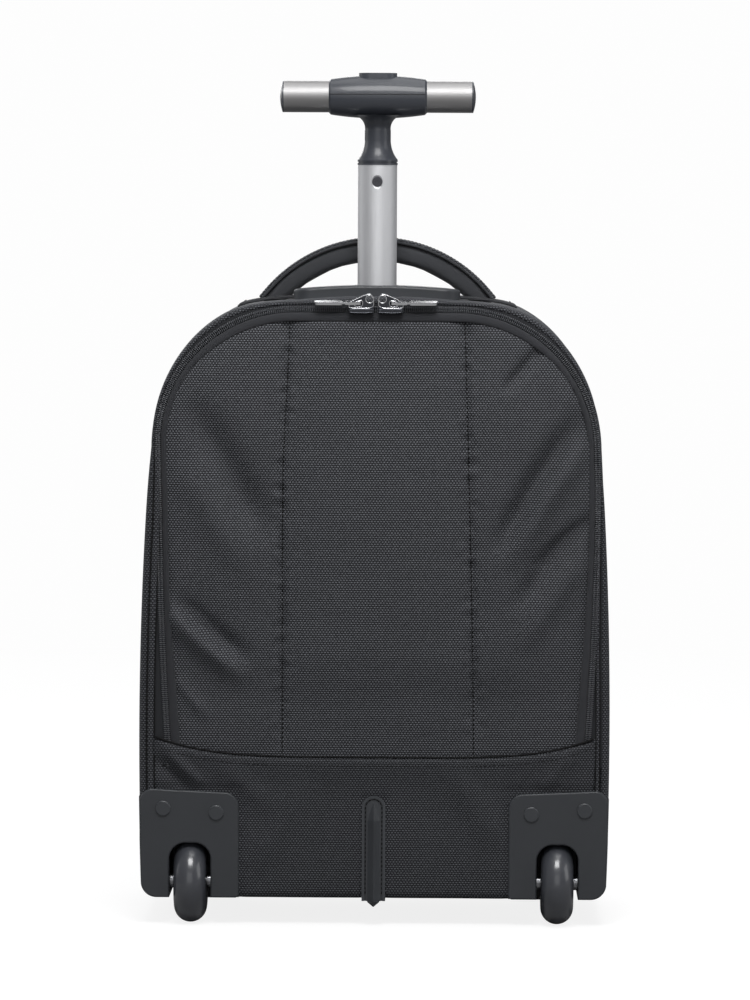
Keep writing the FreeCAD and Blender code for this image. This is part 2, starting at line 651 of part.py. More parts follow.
def wheel_housing():
    """Right guard: face plate, wrap round the corner, bottom and wheel well in one moulding."""
    corners = [at(GUARD_INNER, BODY_LOW), at(190, BODY_LOW), at(190, GUARD_TOP + 0.4)]
    corners.append(at(GUARD_INNER, GUARD_INNER_TOP))
    face = slab(rounded(corners, [3, 2, 2, GUARD_CORNER]), GUARD_FACE_Y, REAR_Y)
    face = face.common(slab(case_outline(0), GUARD_FACE_Y - 1, REAR_Y + 1))
    face = face.common(guard_shoulder(BELT_HALF - 1, GUARD_FACE_Y - 1, REAR_Y + 1))
    ring = wall_ring(REAR_Y, GUARD_BOTTOM_Y)
    wrap = ring.common(guard_region(1))
    well = well_block(1)
    guard = face.fuse([wrap, well])
    half = ARCH_HALF
    cavity = box(WHEEL_X - half, WHEEL_X + half, REAR_Y, WELL_END_Y, 0, WELL_TOP)
    guard = guard.cut(cavity).cut(slab(arch_outline(half, ARCH_TOP), -120, REAR_Y))
    axle = rod(AXLE_R, V(WHEEL_X - 30, AXLE_Y, WHEEL_R), V(WHEEL_X + 30, AXLE_Y, WHEEL_R))
    guard = guard.cut(axle)
    rim = [e for e in guard.Edges if e.BoundBox.YMax < GUARD_FACE_Y + 0.05]
    return guard.makeFillet(GUARD_EDGE, rim)


def wheel():
    def spot(x, radius):
        return V(WHEEL_X + x, AXLE_Y, WHEEL_R + radius)
    axis = V(1, 0, 0)
    edges = [line(spot(-WHEEL_HALF, CORE_R), spot(WHEEL_HALF, CORE_R))]
    edges.append(line(spot(WHEEL_HALF, CORE_R), spot(WHEEL_HALF, WHEEL_R - WHEEL_HALF)))
    right = spot(WHEEL_HALF, WHEEL_R - WHEEL_HALF)
    left = spot(-WHEEL_HALF, WHEEL_R - WHEEL_HALF)
    edges.append(arc(right, spot(0, WHEEL_R), left))
    edges.append(line(left, spot(-WHEEL_HALF, CORE_R)))
    tyre = turned(Part.Wire(edges), spot(0, 0), axis)
    core = rod(CORE_R, spot(0.5 - WHEEL_HALF, 0), spot(WHEEL_HALF - 0.5, 0))
    core = core.cut(rod(CORE_BORE, spot(-20, 0), spot(20, 0)))
    washers = []
    for side in (-1, 1):
        near = side * (WHEEL_HALF + 0.4)
        far = side * ARCH_HALF
        washer = rod(WASHER_R, spot(near, 0), spot(far, 0))
        washers.append(washer.cut(rod(AXLE_R, spot(-20, 0), spot(20, 0))))
    reach = ARCH_HALF + WELL_WALL
    axle = rod(AXLE_R, spot(-reach, 0), spot(reach, 0))
    return tyre, core, washers, axle


def running_gear():
    guard = wheel_housing()
    save("wheel_housing_right", guard)
    save("wheel_housing_left", mirrored(guard))
    tyre, core, washers, axle = wheel()
    save("tyre_right", tyre)
    save("tyre_left", mirrored(tyre))
    save("wheel_core_right", core)
    save("wheel_core_left", mirrored(core))
    save("axle_washers", group(washers + [mirrored(w) for w in washers]))
    save("wheel_axles", group([axle, mirrored(axle)]))
    rivets = []
    for x, z in ((120.4, 86.4), (161.0, 89.5)):
        for side in (-1, 1):
            start = V(side * x, GUARD_FACE_Y, z)
            rivets.append(rivet(start))
    save("guard_rivets", group(rivets))


def rivet(start):
    """Low round plug cap with a bevelled edge."""
    head = Part.makeCylinder(RIVET_R, 0.9, start, V(0, -1, 0))
    cone = Part.makeCone(RIVET_R, RIVET_R - 0.7, 0.5, start + V(0, -0.9, 0), V(0, -1, 0))
    return head.fuse(cone)


def arched_strip(half, low, top):
    """Upright outline with a half-round top."""
    arch = top - half
    edges = [line(at(-half, low), at(half, low)), line(at(half, low), at(half, arch))]
    edges.append(arc(at(half, arch), at(0, top), at(-half, arch)))
    edges.append(line(at(-half, arch), at(-half, low)))
    return Part.Wire(edges)


def kick_strip():
    """Skid strip: flange with a sewing groove, and a keel that runs down the back and under the base."""
    half = STRIP_HALF
    face_y = REAR_Y - STRIP_SKIN
    keel_y = face_y - RIB_DROP
    low = BODY_LOW - STRIP_UNDER
    flange = slab(arched_strip(half, low, STRIP_TOP), face_y, REAR_Y)
    groove = slab(arched_strip(half - STRIP_BORDER, low - 1, STRIP_TOP - STRIP_BORDER), face_y - 1, face_y + 0.9)
    island_half = half - STRIP_BORDER - STRIP_GROOVE
    island = slab(arched_strip(island_half, low - 2, STRIP_TOP - STRIP_BORDER - STRIP_GROOVE), face_y - 2, REAR_Y)
    flange = flange.cut(groove.cut(island))
    flange = flange.fuse(box(-half, half, REAR_Y, -45, low, BODY_LOW))
    tip = low - RIB_DROP + 0.2
    wedge = [V(-RIB_HALF, face_y, tip), V(0, keel_y, tip), V(RIB_HALF, face_y, tip)]
    back_keel = Part.Face(Part.makePolygon(wedge + [wedge[0]])).extrude(V(0, 0, RIB_TOP - RIB_TIP - tip))
    foot = [V(corner.x, corner.y, RIB_TOP - RIB_TIP) for corner in wedge]
    point = Part.Vertex(V(0, face_y, RIB_TOP))
    back_keel = back_keel.fuse(Part.makeLoft([Part.makePolygon(foot + [foot[0]]), point], True, True))
    under = [V(-RIB_HALF, keel_y, low), V(0, keel_y, tip), V(RIB_HALF, keel_y, low)]
    under_keel = Part.Face(Part.makePolygon(under + [under[0]])).extrude(V(0, -50 - keel_y, 0))
    chin = [V(-20, keel_y, low), V(-20, keel_y, tip - 1), V(-20, face_y, tip - 1)]
    under_keel = under_keel.cut(Part.Face(Part.makePolygon(chin + [chin[0]])).extrude(V(40, 0, 0)))
    back_keel = back_keel.cut(box(-20, 20, -120, REAR_Y, tip - 2, low))
    save("kick_strip", flange.fuse([back_keel, under_keel]))


def stand_feet():
    feet = []
    for side in (-1, 1):
        wires = []
        for half_x, half_y, z in ((20, 12, BODY_LOW), (16, 9, 0)):
            x0 = side * FOOT_X
            corners = [V(x0 - half_x, FOOT_Y - half_y, z), V(x0 + half_x, FOOT_Y - half_y, z)]
            corners += [V(x0 + half_x, FOOT_Y + half_y, z), V(x0 - half_x, FOOT_Y + half_y, z)]
            wires.append(rounded(corners, [5, 5, 5, 5]))
        foot = Part.makeLoft(wires, True)
        for screw in foot_screw_shapes():
            foot = foot.cut(screw)
        feet.append(foot)
    save("stand_feet", group(feet))
    bottom = parts["bottom_panel"]
    for screw in foot_screw_shapes():
        bottom = bottom.cut(screw)
    save("bottom_panel", bottom)


# ---- zipper sliders --------------------------------------------------------------------
TILT = 12.0                # the rear sliders lean towards the wheel side
SLIDER_Z = 469.4
SLIDER_Y = REAR_Y - 5.4
PIN_X = 13.0
PIN_Z = 7.1


def lean(shape):
    shape.rotate(V(0, 0, 0), V(1, 0, 0), TILT)
    shape.translate(V(0, SLIDER_Y, SLIDER_Z))
    return shape


def lockable_slider():
    """Right slider: base, and a roof-shaped bridge with a padlock eye and a pull eye."""
    base = box(1.6, 20.5, -3.6, 3.6, 0.2, 3.0)
    base = base.makeFillet(1.0, [e for e in base.Edges if abs(e.BoundBox.ZLength) > 2])
    corners = [at(1.8, 3), at(20.5, 3), at(20.5, 6.2), at(19.0, 8.9), at(5.0, 14.8), at(1.8, 11.5)]
    bridge = slab(rounded(corners, [0, 0, 1, 1.2, 2.0, 1.6]), -1.5, 1.5)
    eye = rod(2.8, V(4.9, -5, 10.3), V(4.9, 5, 10.3))
    slot = slab(rounded([at(10.2, 4.6), at(16.4, 4.6), at(16.4, 8.4), at(10.2, 9.6)], [1.4] * 4), -5, 5)
    return lean(base.fuse(bridge).cut(eye).cut(slot))


def pull_tab():
    """Right pull: two cheeks round the bridge, a pin through its eye, a link and a flat plate."""
    pin = rod(1.0, V(PIN_X, -2.9, PIN_Z), V(PIN_X, 2.9, PIN_Z))
    cheeks = [box(PIN_X - 1.2, 22.5, s * 2.3 - 0.5, s * 2.3 + 0.5, PIN_Z - 1.0, PIN_Z + 1.0) for s in (-1, 1)]
    yoke = box(21.3, 23.5, -2.8, 2.8, PIN_Z - 1.0, PIN_Z + 1.0)
    link = box(23.5, 26.0, -1.9, 1.9, PIN_Z - 0.6, PIN_Z + 0.6)
    plate = box(26.0, 46.7, -3.5, 3.5, PIN_Z - 1.1, PIN_Z + 1.1)
    edges = [e for e in plate.Edges if e.BoundBox.ZLength > 2 and e.BoundBox.XMin > 40]
    plate = plate.makeFillet(3.0, edges)
    return lean(pin.fuse(cheeks + [yoke, link, plate]))


def sliders():
    slider = lockable_slider()
    save("rear_slider_right", slider)
    save("rear_slider_left", mirrored(slider))
    pull = pull_tab()
    save("rear_pull_right", pull)
    save("rear_pull_left", mirrored(pull))
    y0 = FRONT_Y + SEAM_GAP + FLAP_THICK + 0.4
    body = box(2, 15, FRONT_Y + 1.6, y0 + 4, ZIP_TOP + 0.2, ZIP_TOP + 5)
    tab = box(4.5, 12.5, y0, y0 + 1.8, ZIP_TOP - 32, ZIP_TOP + 0.2)
    tab = tab.fuse(box(4.5, 12.5, y0, y0 + 4, ZIP_TOP - 2, ZIP_TOP + 0.2))
    front = body.fuse(tab)
    save("lid_slider_right", front)
    save("lid_slider_left", mirrored(front))


def main():
    fabric_shell()
    zip_tapes()
    flaps()
    front_pocket()
    stiff_inside()
    shoulder_harness()
    trolley_tubes()
    lock_parts()
    foot_bracket()
    tube_screw()
    t_grip()
    button_parts()
    bezel()
    screws()
    carry_handle()
    running_gear()
    kick_strip()
    stand_feet()
    sliders()
    os.makedirs("parts", exist_ok=True)
    for name in sorted(parts):
        shape = parts[name]
        shape.exportStep("parts/" + name + ".step")
        size = shape.BoundBox
        print(name, shape.isValid(), len(shape.Solids), round(shape.Volume),
              round(size.XMin, 1), round(size.XMax, 1), round(size.YMin, 1), round(size.YMax, 1),
              round(size.ZMin, 1), round(size.ZMax, 1))
    print(len(parts), "nodes")


main()
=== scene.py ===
import math

import bmesh
import bpy
import numpy as np
from mathutils import Matrix, Vector, noise
from mathutils.bvhtree import BVHTree


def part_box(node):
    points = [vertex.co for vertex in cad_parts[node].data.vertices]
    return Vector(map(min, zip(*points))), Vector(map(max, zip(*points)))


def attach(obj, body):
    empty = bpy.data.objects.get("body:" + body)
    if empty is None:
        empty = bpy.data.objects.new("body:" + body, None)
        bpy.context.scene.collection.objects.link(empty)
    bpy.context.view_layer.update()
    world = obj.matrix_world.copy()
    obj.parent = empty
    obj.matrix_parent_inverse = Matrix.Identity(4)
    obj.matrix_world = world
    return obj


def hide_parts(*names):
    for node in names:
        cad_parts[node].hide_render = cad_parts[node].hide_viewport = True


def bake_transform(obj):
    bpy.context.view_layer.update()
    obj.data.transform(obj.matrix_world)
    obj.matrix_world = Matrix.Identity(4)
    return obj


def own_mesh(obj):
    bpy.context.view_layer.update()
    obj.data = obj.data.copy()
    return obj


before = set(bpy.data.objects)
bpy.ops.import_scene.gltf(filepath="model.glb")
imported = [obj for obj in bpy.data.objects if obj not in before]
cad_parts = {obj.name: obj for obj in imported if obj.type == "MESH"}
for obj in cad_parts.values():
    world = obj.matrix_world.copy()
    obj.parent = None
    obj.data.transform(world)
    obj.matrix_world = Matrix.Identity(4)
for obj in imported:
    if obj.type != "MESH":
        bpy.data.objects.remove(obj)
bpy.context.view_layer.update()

MM = 0.001
ALONG_Y = (0, 1, 0)

# ---- places read from the frame (metres) -----------------------------------------------
CROWN_LOW, CROWN_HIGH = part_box("crown_gusset")
GUSSET_LOW, GUSSET_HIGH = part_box("side_gusset_right")
FLAP_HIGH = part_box("rear_flap")[1]
LID_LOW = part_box("lid_panel")[0]
GUARD_LOW, GUARD_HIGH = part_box("wheel_housing_right")
HANDLE_LOW, HANDLE_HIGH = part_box("carry_handle")
POCKET_LOW, POCKET_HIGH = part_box("pocket_panel")
RING_LOW, RING_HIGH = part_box("pocket_ring")
BOTTOM_LOW, BOTTOM_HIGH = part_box("bottom_panel")
STRAP_LOW, STRAP_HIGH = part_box("shoulder_straps")
BACK_LOW, BACK_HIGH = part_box("back_pad")
SLEEVE_LOW, SLEEVE_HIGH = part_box("laptop_pad")
DIVIDER_LOW, DIVIDER_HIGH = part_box("inner_divider")

REAR_Y = CROWN_LOW.y
FRONT_Y = CROWN_HIGH.y
BODY_LOW = BOTTOM_LOW.z
BASE_HALF = BOTTOM_HIGH.x
SPLIT_Z = GUSSET_LOW.z
BELT_HALF = GUSSET_HIGH.x
BELT_Z = 0.150
SHOULDER_HALF = CROWN_HIGH.x
SHOULDER_Z = CROWN_LOW.z
CROWN_RISE = 0.003
CROWN_Z = CROWN_HIGH.z - CROWN_RISE
SHOULDER_RADIUS = CROWN_Z - SHOULDER_Z
SHOULDER_X = SHOULDER_HALF - SHOULDER_RADIUS
CORNER_RADIUS = SPLIT_Z - BODY_LOW

COIL_HALF = 0.0032
ZIP_ARC_X = 0.062
ZIP_RADIUS = FLAP_HIGH.z + COIL_HALF - SHOULDER_Z
ZIP_HALF = ZIP_ARC_X + ZIP_RADIUS
ZIP_WAIST_HALF = 0.1655
ZIP_END_HALF = 0.159
FRONT_HINGE_Z = LID_LOW.z - 0.001

# ---- look of the soft parts ------------------------------------------------------------
DRIFT_ABOVE = (0.30, 0.44)  # the drift of the flap's zipper dies out between these heights
SIDE_STEPS = 90
SHOULDER_STEPS = 60
CROWN_STEPS = 30
TURN_STEPS = 14             # points round each corner of a pocket or a pad
CORNER_DEPTH = 0.010        # how far the gusset takes to turn from the face to the side
HEM_MIDDLE_Z = 0.1293       # folded top edge of the lower rear panel, in the middle
HEM_RISE = 0.0154           # and how much higher it is at its sides
HEM_RISE_AT = 0.1685
FLAP_FOOT_Z = 0.122         # the flap runs down behind that hem
SHOULDER_FULL = 0.0040
SHOULDER_FULL_AT = 62.0     # degrees up the shoulder's arc
FLANK_DRAW = 0.0010
TOOTH_PITCH = 0.00150
ZIP_DRIFT = 0.0026


# ---- curves in the plane of the case's face --------------------------------------------
def arc_through(a, b, c, count):
    """Points on the circle from a to c by way of b."""
    (ax, az), (bx, bz), (cx, cz) = a, b, c
    d = 2 * (ax * (bz - cz) + bx * (cz - az) + cx * (az - bz))
    sa, sb, sc = ax * ax + az * az, bx * bx + bz * bz, cx * cx + cz * cz
    ux = (sa * (bz - cz) + sb * (cz - az) + sc * (az - bz)) / d
    uz = (sa * (cx - bx) + sb * (ax - cx) + sc * (bx - ax)) / d
    start = math.atan2(az - uz, ax - ux)
    middle = (math.atan2(bz - uz, bx - ux) - start) % (2 * math.pi)
    sweep = (math.atan2(cz - uz, cx - ux) - start) % (2 * math.pi)
    if middle > sweep:
        sweep -= 2 * math.pi
    angles = start + np.linspace(0, sweep, count)
    radius = math.hypot(ax - ux, az - uz)
    return np.stack([ux + radius * np.cos(angles), uz + radius * np.sin(angles)], 1)


def arch_line(foot, waist, shoulder, arc_x, radius, rise):
    """Left foot to right foot of an arched outline; matching stretches get equal counts."""
    side = arc_through(foot, waist, (shoulder, SHOULDER_Z), SIDE_STEPS)
    angles = np.linspace(0, math.pi / 2, SHOULDER_STEPS)
    bend = np.stack([arc_x + radius * np.cos(angles), SHOULDER_Z + radius * np.sin(angles)], 1)
    top = SHOULDER_Z + radius
    across = np.linspace(arc_x, 0, CROWN_STEPS)
    crown = np.stack([across, top + rise * (1 - (across / arc_x) ** 2)], 1)
    half = np.concatenate([side[:-1], bend[:-1], crown])
    left = half * np.array([-1, 1])
    return np.concatenate([left, half[-2::-1]])


def case_line(inset=0.0, low=SPLIT_Z):
    """Outline of the case's body, from its left foot over the crown to its right foot."""
    foot = (BASE_HALF - inset, low)
    waist = (BELT_HALF - inset, BELT_Z)
    line = arch_line(foot, waist, SHOULDER_HALF - inset, SHOULDER_X, SHOULDER_RADIUS - inset, CROWN_RISE)
    # stuffed shoulders stand out beyond the plain arc, and the flanks below them are drawn in
    turn = np.degrees(np.arctan2(line[:, 1] - SHOULDER_Z, np.abs(line[:, 0]) - SHOULDER_X))
    spread = np.where(turn < SHOULDER_FULL_AT, 30.0, 15.0)
    full = SHOULDER_FULL * bell(turn - SHOULDER_FULL_AT, spread) * (line[:, 1] > SHOULDER_Z)
    drawn_in = FLANK_DRAW * bell(line[:, 1] - SHOULDER_Z - 0.012, 0.030)
    return line + side_normals(line) * (full - drawn_in)[:, None]


def rear_zip_line(low):
    """Middle line of the zipper round the flap."""
    waist = (ZIP_WAIST_HALF, (low + SHOULDER_Z) / 2)
    line = arch_line((ZIP_END_HALF, low), waist, ZIP_HALF, ZIP_ARC_X, ZIP_RADIUS, 0)
    # the sewn-in flap sits a little to the right in its frame
    line[:, 0] += ZIP_DRIFT * (1 - smooth_step(line[:, 1], *DRIFT_ABOVE))
    return line


def front_zip_line(low=FRONT_HINGE_Z):
    """Middle line of the zipper round the lid."""
    waist = (ZIP_HALF + 0.001, (low + SHOULDER_Z) / 2)
    return arch_line((ZIP_HALF - 0.002, low), waist, ZIP_HALF, ZIP_ARC_X, ZIP_RADIUS, 0)


def rounded_box_line(half, low, high, radius):
    """Closed outline of a box with round corners, counter-clockwise from the right side."""
    points = []
    for turn, (sx, z) in enumerate(((1, high), (-1, high), (-1, low), (1, low))):
        cx = sx * (half - radius)
        cz = z - radius if z == high else z + radius
        for angle in np.linspace(turn * math.pi / 2, (turn + 1) * math.pi / 2, TURN_STEPS):
            points.append((cx + radius * math.cos(angle), cz + radius * math.sin(angle)))
    return np.array(points)


def resample(line, count=None, step=None, closed=False):
    """Evenly spaced points along a line."""
    if closed:
        line = np.concatenate([line, line[:1]])
    runs = np.linalg.norm(np.diff(line, axis=0), axis=1)
    places = np.concatenate([[0], np.cumsum(runs)])
    if count is None:
        count = max(2, int(round(places[-1] / step)) + 1)
    wanted = np.linspace(0, places[-1], count)
    columns = [np.interp(wanted, places, line[:, i]) for i in range(line.shape[1])]
    return np.stack(columns, 1)


def side_normals(line):
    """Unit normals of a line in X and Z, to the left of its direction of travel."""
    tangent = np.gradient(line, axis=0)
    tangent /= np.linalg.norm(tangent, axis=1)[:, None]
    return np.stack([-tangent[:, 1], tangent[:, 0]], 1)


def smooth_step(value, low, high):
    """0 up to low, 1 from high on, and an even ramp with soft ends between them."""
    t = np.clip((value - low) / (high - low), 0, 1)
    return t * t * (3 - 2 * t)


def bell(value, width):
    """1 where a value is 0, and softly less on both sides of it."""
    return np.exp(-(value / width) ** 2)


def filled(away, width, power=1):
    """0 at an edge, and softly up to 1 away from it."""
    return 1 - np.exp(-(away / width) ** power)


def at_depth(flat, y):
    """Places in space for points in X and Z, all at one Y or each at its own."""
    return np.stack([flat[:, 0], np.broadcast_to(y, len(flat)), flat[:, 1]], 1)


def distance_to(points, line):
    """Shortest distance from each point to a line, both in X and Z."""
    best = np.full(len(points), 9.0)
    for a, b in zip(line[:-1], line[1:]):
        run = b - a
        share = np.clip(((points - a) @ run) / max(run @ run, 1e-12), 0, 1)
        gap = np.linalg.norm(points - a - share[:, None] * run, axis=1)
        best = np.minimum(best, gap)
    return best


def rumple(x, y, z, scale, seed):
    """Smooth undulation from -1 to 1, the same at every run."""
    x, y, z = np.broadcast_arrays(x, y, z)
    places = (Vector((a / scale + seed, b / scale, c / scale)) for a, b, c in zip(x, y, z))
    return np.array([noise.noise(place) for place in places])


# ---- meshes ----------------------------------------------------------------------------
def make_piece(name, verts, faces, material, body):
    """A smooth mesh in the scene that rides on a body, or on none yet."""
    mesh = bpy.data.meshes.new(name)
    points = [tuple(map(float, v)) for v in verts]
    mesh.from_pydata(points, [], [tuple(map(int, f)) for f in faces])
    mesh.update()
    piece = bpy.data.objects.new(name, mesh)
    bpy.context.scene.collection.objects.link(piece)
    mesh.materials.append(material)
    mesh.polygons.foreach_set("use_smooth", [True] * len(mesh.polygons))
    if body:
        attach(piece, body)
    return piece


def grid_faces(rows, columns, wrap=False, flip=False, start=0):
    """Four-sided faces between the points of a grid, kept row by row."""
    faces = []
    last = columns if wrap else columns - 1
    for r in range(rows - 1):
        for c in range(last):
            right = (c + 1) % columns
            a, b = start + r * columns + c, start + r * columns + right
            d, e = start + (r + 1) * columns + c, start + (r + 1) * columns + right
            faces.append((a, d, e, b) if flip else (a, b, e, d))
    return faces


def closing_faces(rows, columns):
    """Faces from the last ring of a closed band back to its first."""
    last = (rows - 1) * columns
    return [(last + c, last + (c + 1) % columns, (c + 1) % columns, c) for c in range(columns)]


def rim_faces(rows, columns):
    """Faces round the border that joins a grid to the copy of it that follows."""
    rim = list(range(columns))
    rim += [r * columns + columns - 1 for r in range(1, rows)]
    rim += [(rows - 1) * columns + c for c in range(columns - 2, -1, -1)]
    rim += [r * columns for r in range(rows - 2, 0, -1)]
    count = rows * columns
    return [(a, a + count, b + count, b) for a, b in zip(rim, rim[1:] + rim[:1])]


def apply_modifiers(piece):
    """Makes the piece's modifiers part of its mesh."""
    graph = bpy.context.evaluated_depsgraph_get()
    mesh = bpy.data.meshes.new_from_object(piece.evaluated_get(graph))
    old = piece.data
    piece.modifiers.clear()
    piece.data = mesh
    bpy.data.meshes.remove(old)
    return piece


def delete_faces(piece, hidden):
    """Deletes the faces whose middle the test says is hidden."""
    shape = bmesh.new()
    shape.from_mesh(piece.data)
    faces = [f for f in shape.faces if hidden(f.calc_center_median())]
    bmesh.ops.delete(shape, geom=faces, context="FACES")
    shape.to_mesh(piece.data)
    shape.free()


def outward(piece):
    """Turns every face of a closed piece to the outside."""
    shape = bmesh.new()
    shape.from_mesh(piece.data)
    bmesh.ops.recalc_face_normals(shape, faces=shape.faces)
    shape.to_mesh(piece.data)
    shape.free()
    return piece


def frames_along(path, up, closed):
    """Tangent, side and up vectors at each point of a path in space."""
    if closed:
        tangent = np.roll(path, -1, 0) - np.roll(path, 1, 0)
    else:
        tangent = np.gradient(path, axis=0)
    tangent /= np.linalg.norm(tangent, axis=1)[:, None]
    side = np.cross(tangent, up)
    side /= np.linalg.norm(side, axis=1)[:, None]
    top = np.cross(side, tangent)
    return tangent, side, top


def sweep(name, path, profile, up, material, body, closed=False, scales=None):
    """Solid with a closed profile of (side, up) points carried along a path."""
    path = np.asarray(path, float)
    up = np.broadcast_to(np.asarray(up, float), path.shape)
    _, side, top = frames_along(path, up, closed)
    profile = np.asarray(profile, float)
    scales = np.ones(len(path)) if scales is None else np.asarray(scales)
    verts = []
    for centre, s, t, size in zip(path, side, top, scales):
        verts.extend(centre + size * (p[0] * s + p[1] * t) for p in profile)
    count = len(profile)
    rows = len(path)
    faces = grid_faces(rows, count, wrap=True)
    if closed:
        faces += closing_faces(rows, count)
    else:
        faces.append(tuple(range(count))[::-1])
        faces.append(tuple((rows - 1) * count + c for c in range(count)))
    return outward(make_piece(name, verts, faces, material, body))


def ellipse(half_side, half_up, count, power=1.0):
    """Closed profile; a power under 1 makes it squarer."""
    points = []
    for k in range(count):
        a = 2 * math.pi * k / count
        c, s = math.cos(a), math.sin(a)
        x, y = (math.copysign(abs(w) ** power, w) for w in (c, s))
        points.append((half_side * x, half_up * y))
    return points


def disc(radius, count=8):
    """Round closed profile."""
    return ellipse(radius, radius, count)


# along and across a capsule, as shares of its half length and its radius
CAPSULE_RINGS = ((-1.0, 0.0), (-0.86, 0.72), (-0.3, 1.0), (0.3, 1.0), (0.86, 0.72), (1.0, 0.0))


def capsules(name, centres, runs, heights, radius, material, body, sides):
    """Many little rounded bars in one piece: each has a centre, a half run and a height direction."""
    verts, faces = [], []
    angles = [2 * math.pi * k / sides for k in range(sides)]
    for centre, run, height in zip(centres, runs, heights):
        third = np.cross(run, height)
        third = third / max(np.linalg.norm(third), 1e-9)
        height = height / max(np.linalg.norm(height), 1e-9)
        start = len(verts)
        verts.append(centre + run * CAPSULE_RINGS[0][0])
        for along, wide in CAPSULE_RINGS[1:-1]:
            for a in angles:
                spoke = math.cos(a) * third + math.sin(a) * height
                verts.append(centre + run * along + radius * wide * spoke)
        verts.append(centre + run * CAPSULE_RINGS[-1][0])
        end = len(verts) - 1
        faces += [(start, start + 1 + (k + 1) % sides, start + 1 + k) for k in range(sides)]
        faces += grid_faces(len(CAPSULE_RINGS) - 2, sides, wrap=True, start=start + 1)
        last = end - sides
        faces += [(end, last + k, last + (k + 1) % sides) for k in range(sides)]
    return make_piece(name, verts, faces, material, body)


def stitch_line(name, path, normal, material, body, pitch=0.0034, share=0.62, radius=0.00035):
    """A row of stitches along a path in space, lying on the surface whose normal is given."""
    path = resample(np.asarray(path, float), step=pitch)
    normal = np.broadcast_to(np.asarray(normal, float), path.shape)
    centres = (path[:-1] + path[1:]) / 2
    runs = (path[1:] - path[:-1]) * share / 2
    return capsules(name, centres, runs, normal[:-1], radius, material, body, sides=5)


# ---- materials -------------------------------------------------------------------------
def new_material(name):
    """A material, its node tree and its shader."""
    material = bpy.data.materials.new(name)
    material.use_nodes = True
    tree = material.node_tree
    return material, tree, tree.nodes["Principled BSDF"]


def put(tree, kind, values=(), **settings):
    """Adds a node; values are (input, value or output) pairs."""
    node = tree.nodes.new(kind)
    for key, value in settings.items():
        setattr(node, key, value)
    for socket, value in values:
        if isinstance(value, bpy.types.NodeSocket):
            tree.links.new(value, node.inputs[socket])
        else:
            node.inputs[socket].default_value = value
    return node


def calc(tree, operation, a, b=None, clamp=False):
    """The output of a Math node."""
    values = [(i, v) for i, v in enumerate((a, b)) if v is not None]
    return put(tree, "ShaderNodeMath", values, operation=operation, use_clamp=clamp).outputs[0]


def blend_values(tree, factor, low, high):
    """low where factor is 0 and high where it is 1."""
    node = put(tree, "ShaderNodeMapRange", [("Value", factor), ("To Min", low), ("To Max", high)])
    return node.outputs["Result"]


def blend_colours(tree, factor, low, high):
    node = put(tree, "ShaderNodeMix", data_type="RGBA")
    for index, value in ((0, factor), (6, low), (7, high)):
        if isinstance(value, bpy.types.NodeSocket):
            tree.links.new(value, node.inputs[index])
        else:
            node.inputs[index].default_value = value if index == 0 else (*value, 1)
    return node.outputs[2]


def noise_value(tree, place, scale, detail, roughness=0.5):
    values = [("Vector", place), ("Scale", scale), ("Detail", detail), ("Roughness", roughness)]
    return put(tree, "ShaderNodeTexNoise", values).outputs["Fac"]


def stretched(tree, place, scale):
    return put(tree, "ShaderNodeMapping", [("Vector", place), ("Scale", scale)]).outputs[0]


def add_bump(tree, shader, height, distance):
    values = [("Height", height), ("Distance", distance), ("Strength", 1.0)]
    node = put(tree, "ShaderNodeBump", values)
    tree.links.new(node.outputs[0], shader.inputs["Normal"])


def set_shader(shader, **values):
    """Plain values for the shader's sockets, such as sheen_weight=0.3."""
    for name, value in values.items():
        label = name.replace("_", " ").title().replace("Ior", "IOR")
        shader.inputs[label].default_value = value


def tints(colour, *gains):
    """The same colour at other strengths."""
    return ([c * gain for c in colour] for gain in gains)


def object_place(tree):
    return put(tree, "ShaderNodeTexCoord").outputs["Object"]


def face_coordinates(tree):
    """Two coordinates along whichever way a surface faces, from its place alone, so no UVs are needed."""
    source = put(tree, "ShaderNodeTexCoord")
    place = put(tree, "ShaderNodeSeparateXYZ", [(0, source.outputs["Object"])])
    way = put(tree, "ShaderNodeSeparateXYZ", [(0, source.outputs["Normal"])])
    x, y, z = place.outputs
    nx, ny, nz = (calc(tree, "ABSOLUTE", w) for w in way.outputs)
    sideways = calc(tree, "GREATER_THAN", nx, calc(tree, "MULTIPLY", ny, 1.05))
    level = calc(tree, "GREATER_THAN", nz, calc(tree, "MAXIMUM", nx, ny))
    u = blend_values(tree, sideways, x, y)
    v = blend_values(tree, level, z, y)
    u = blend_values(tree, level, u, x)
    return u, v, source.outputs["Object"]


def dot_lattice(tree, u, v, pitch, size, soft):
    """1 in the middle of each dot of a staggered lattice, 0 between the dots."""
    row = calc(tree, "DIVIDE", v, pitch[1])
    row_index = calc(tree, "FLOOR", row)
    odd = calc(tree, "MODULO", calc(tree, "ABSOLUTE", row_index), 2.0)
    column = calc(tree, "ADD", calc(tree, "DIVIDE", u, pitch[0]), calc(tree, "MULTIPLY", odd, 0.5))
    across = calc(tree, "SUBTRACT", calc(tree, "FRACT", column), 0.5)
    down = calc(tree, "SUBTRACT", calc(tree, "FRACT", row), 0.5)
    across = calc(tree, "DIVIDE", calc(tree, "MULTIPLY", across, pitch[0]), size[0])
    down = calc(tree, "DIVIDE", calc(tree, "MULTIPLY", down, pitch[1]), size[1])
    square, other = calc(tree, "MULTIPLY", across, across), calc(tree, "MULTIPLY", down, down)
    reach = calc(tree, "SQRT", calc(tree, "ADD", square, other))
    values = [("Value", reach), ("From Min", 1 - soft), ("From Max", 1.0), ("To Min", 1.0), ("To Max", 0.0)]
    return put(tree, "ShaderNodeMapRange", values, interpolation_type="SMOOTHSTEP").outputs["Result"]


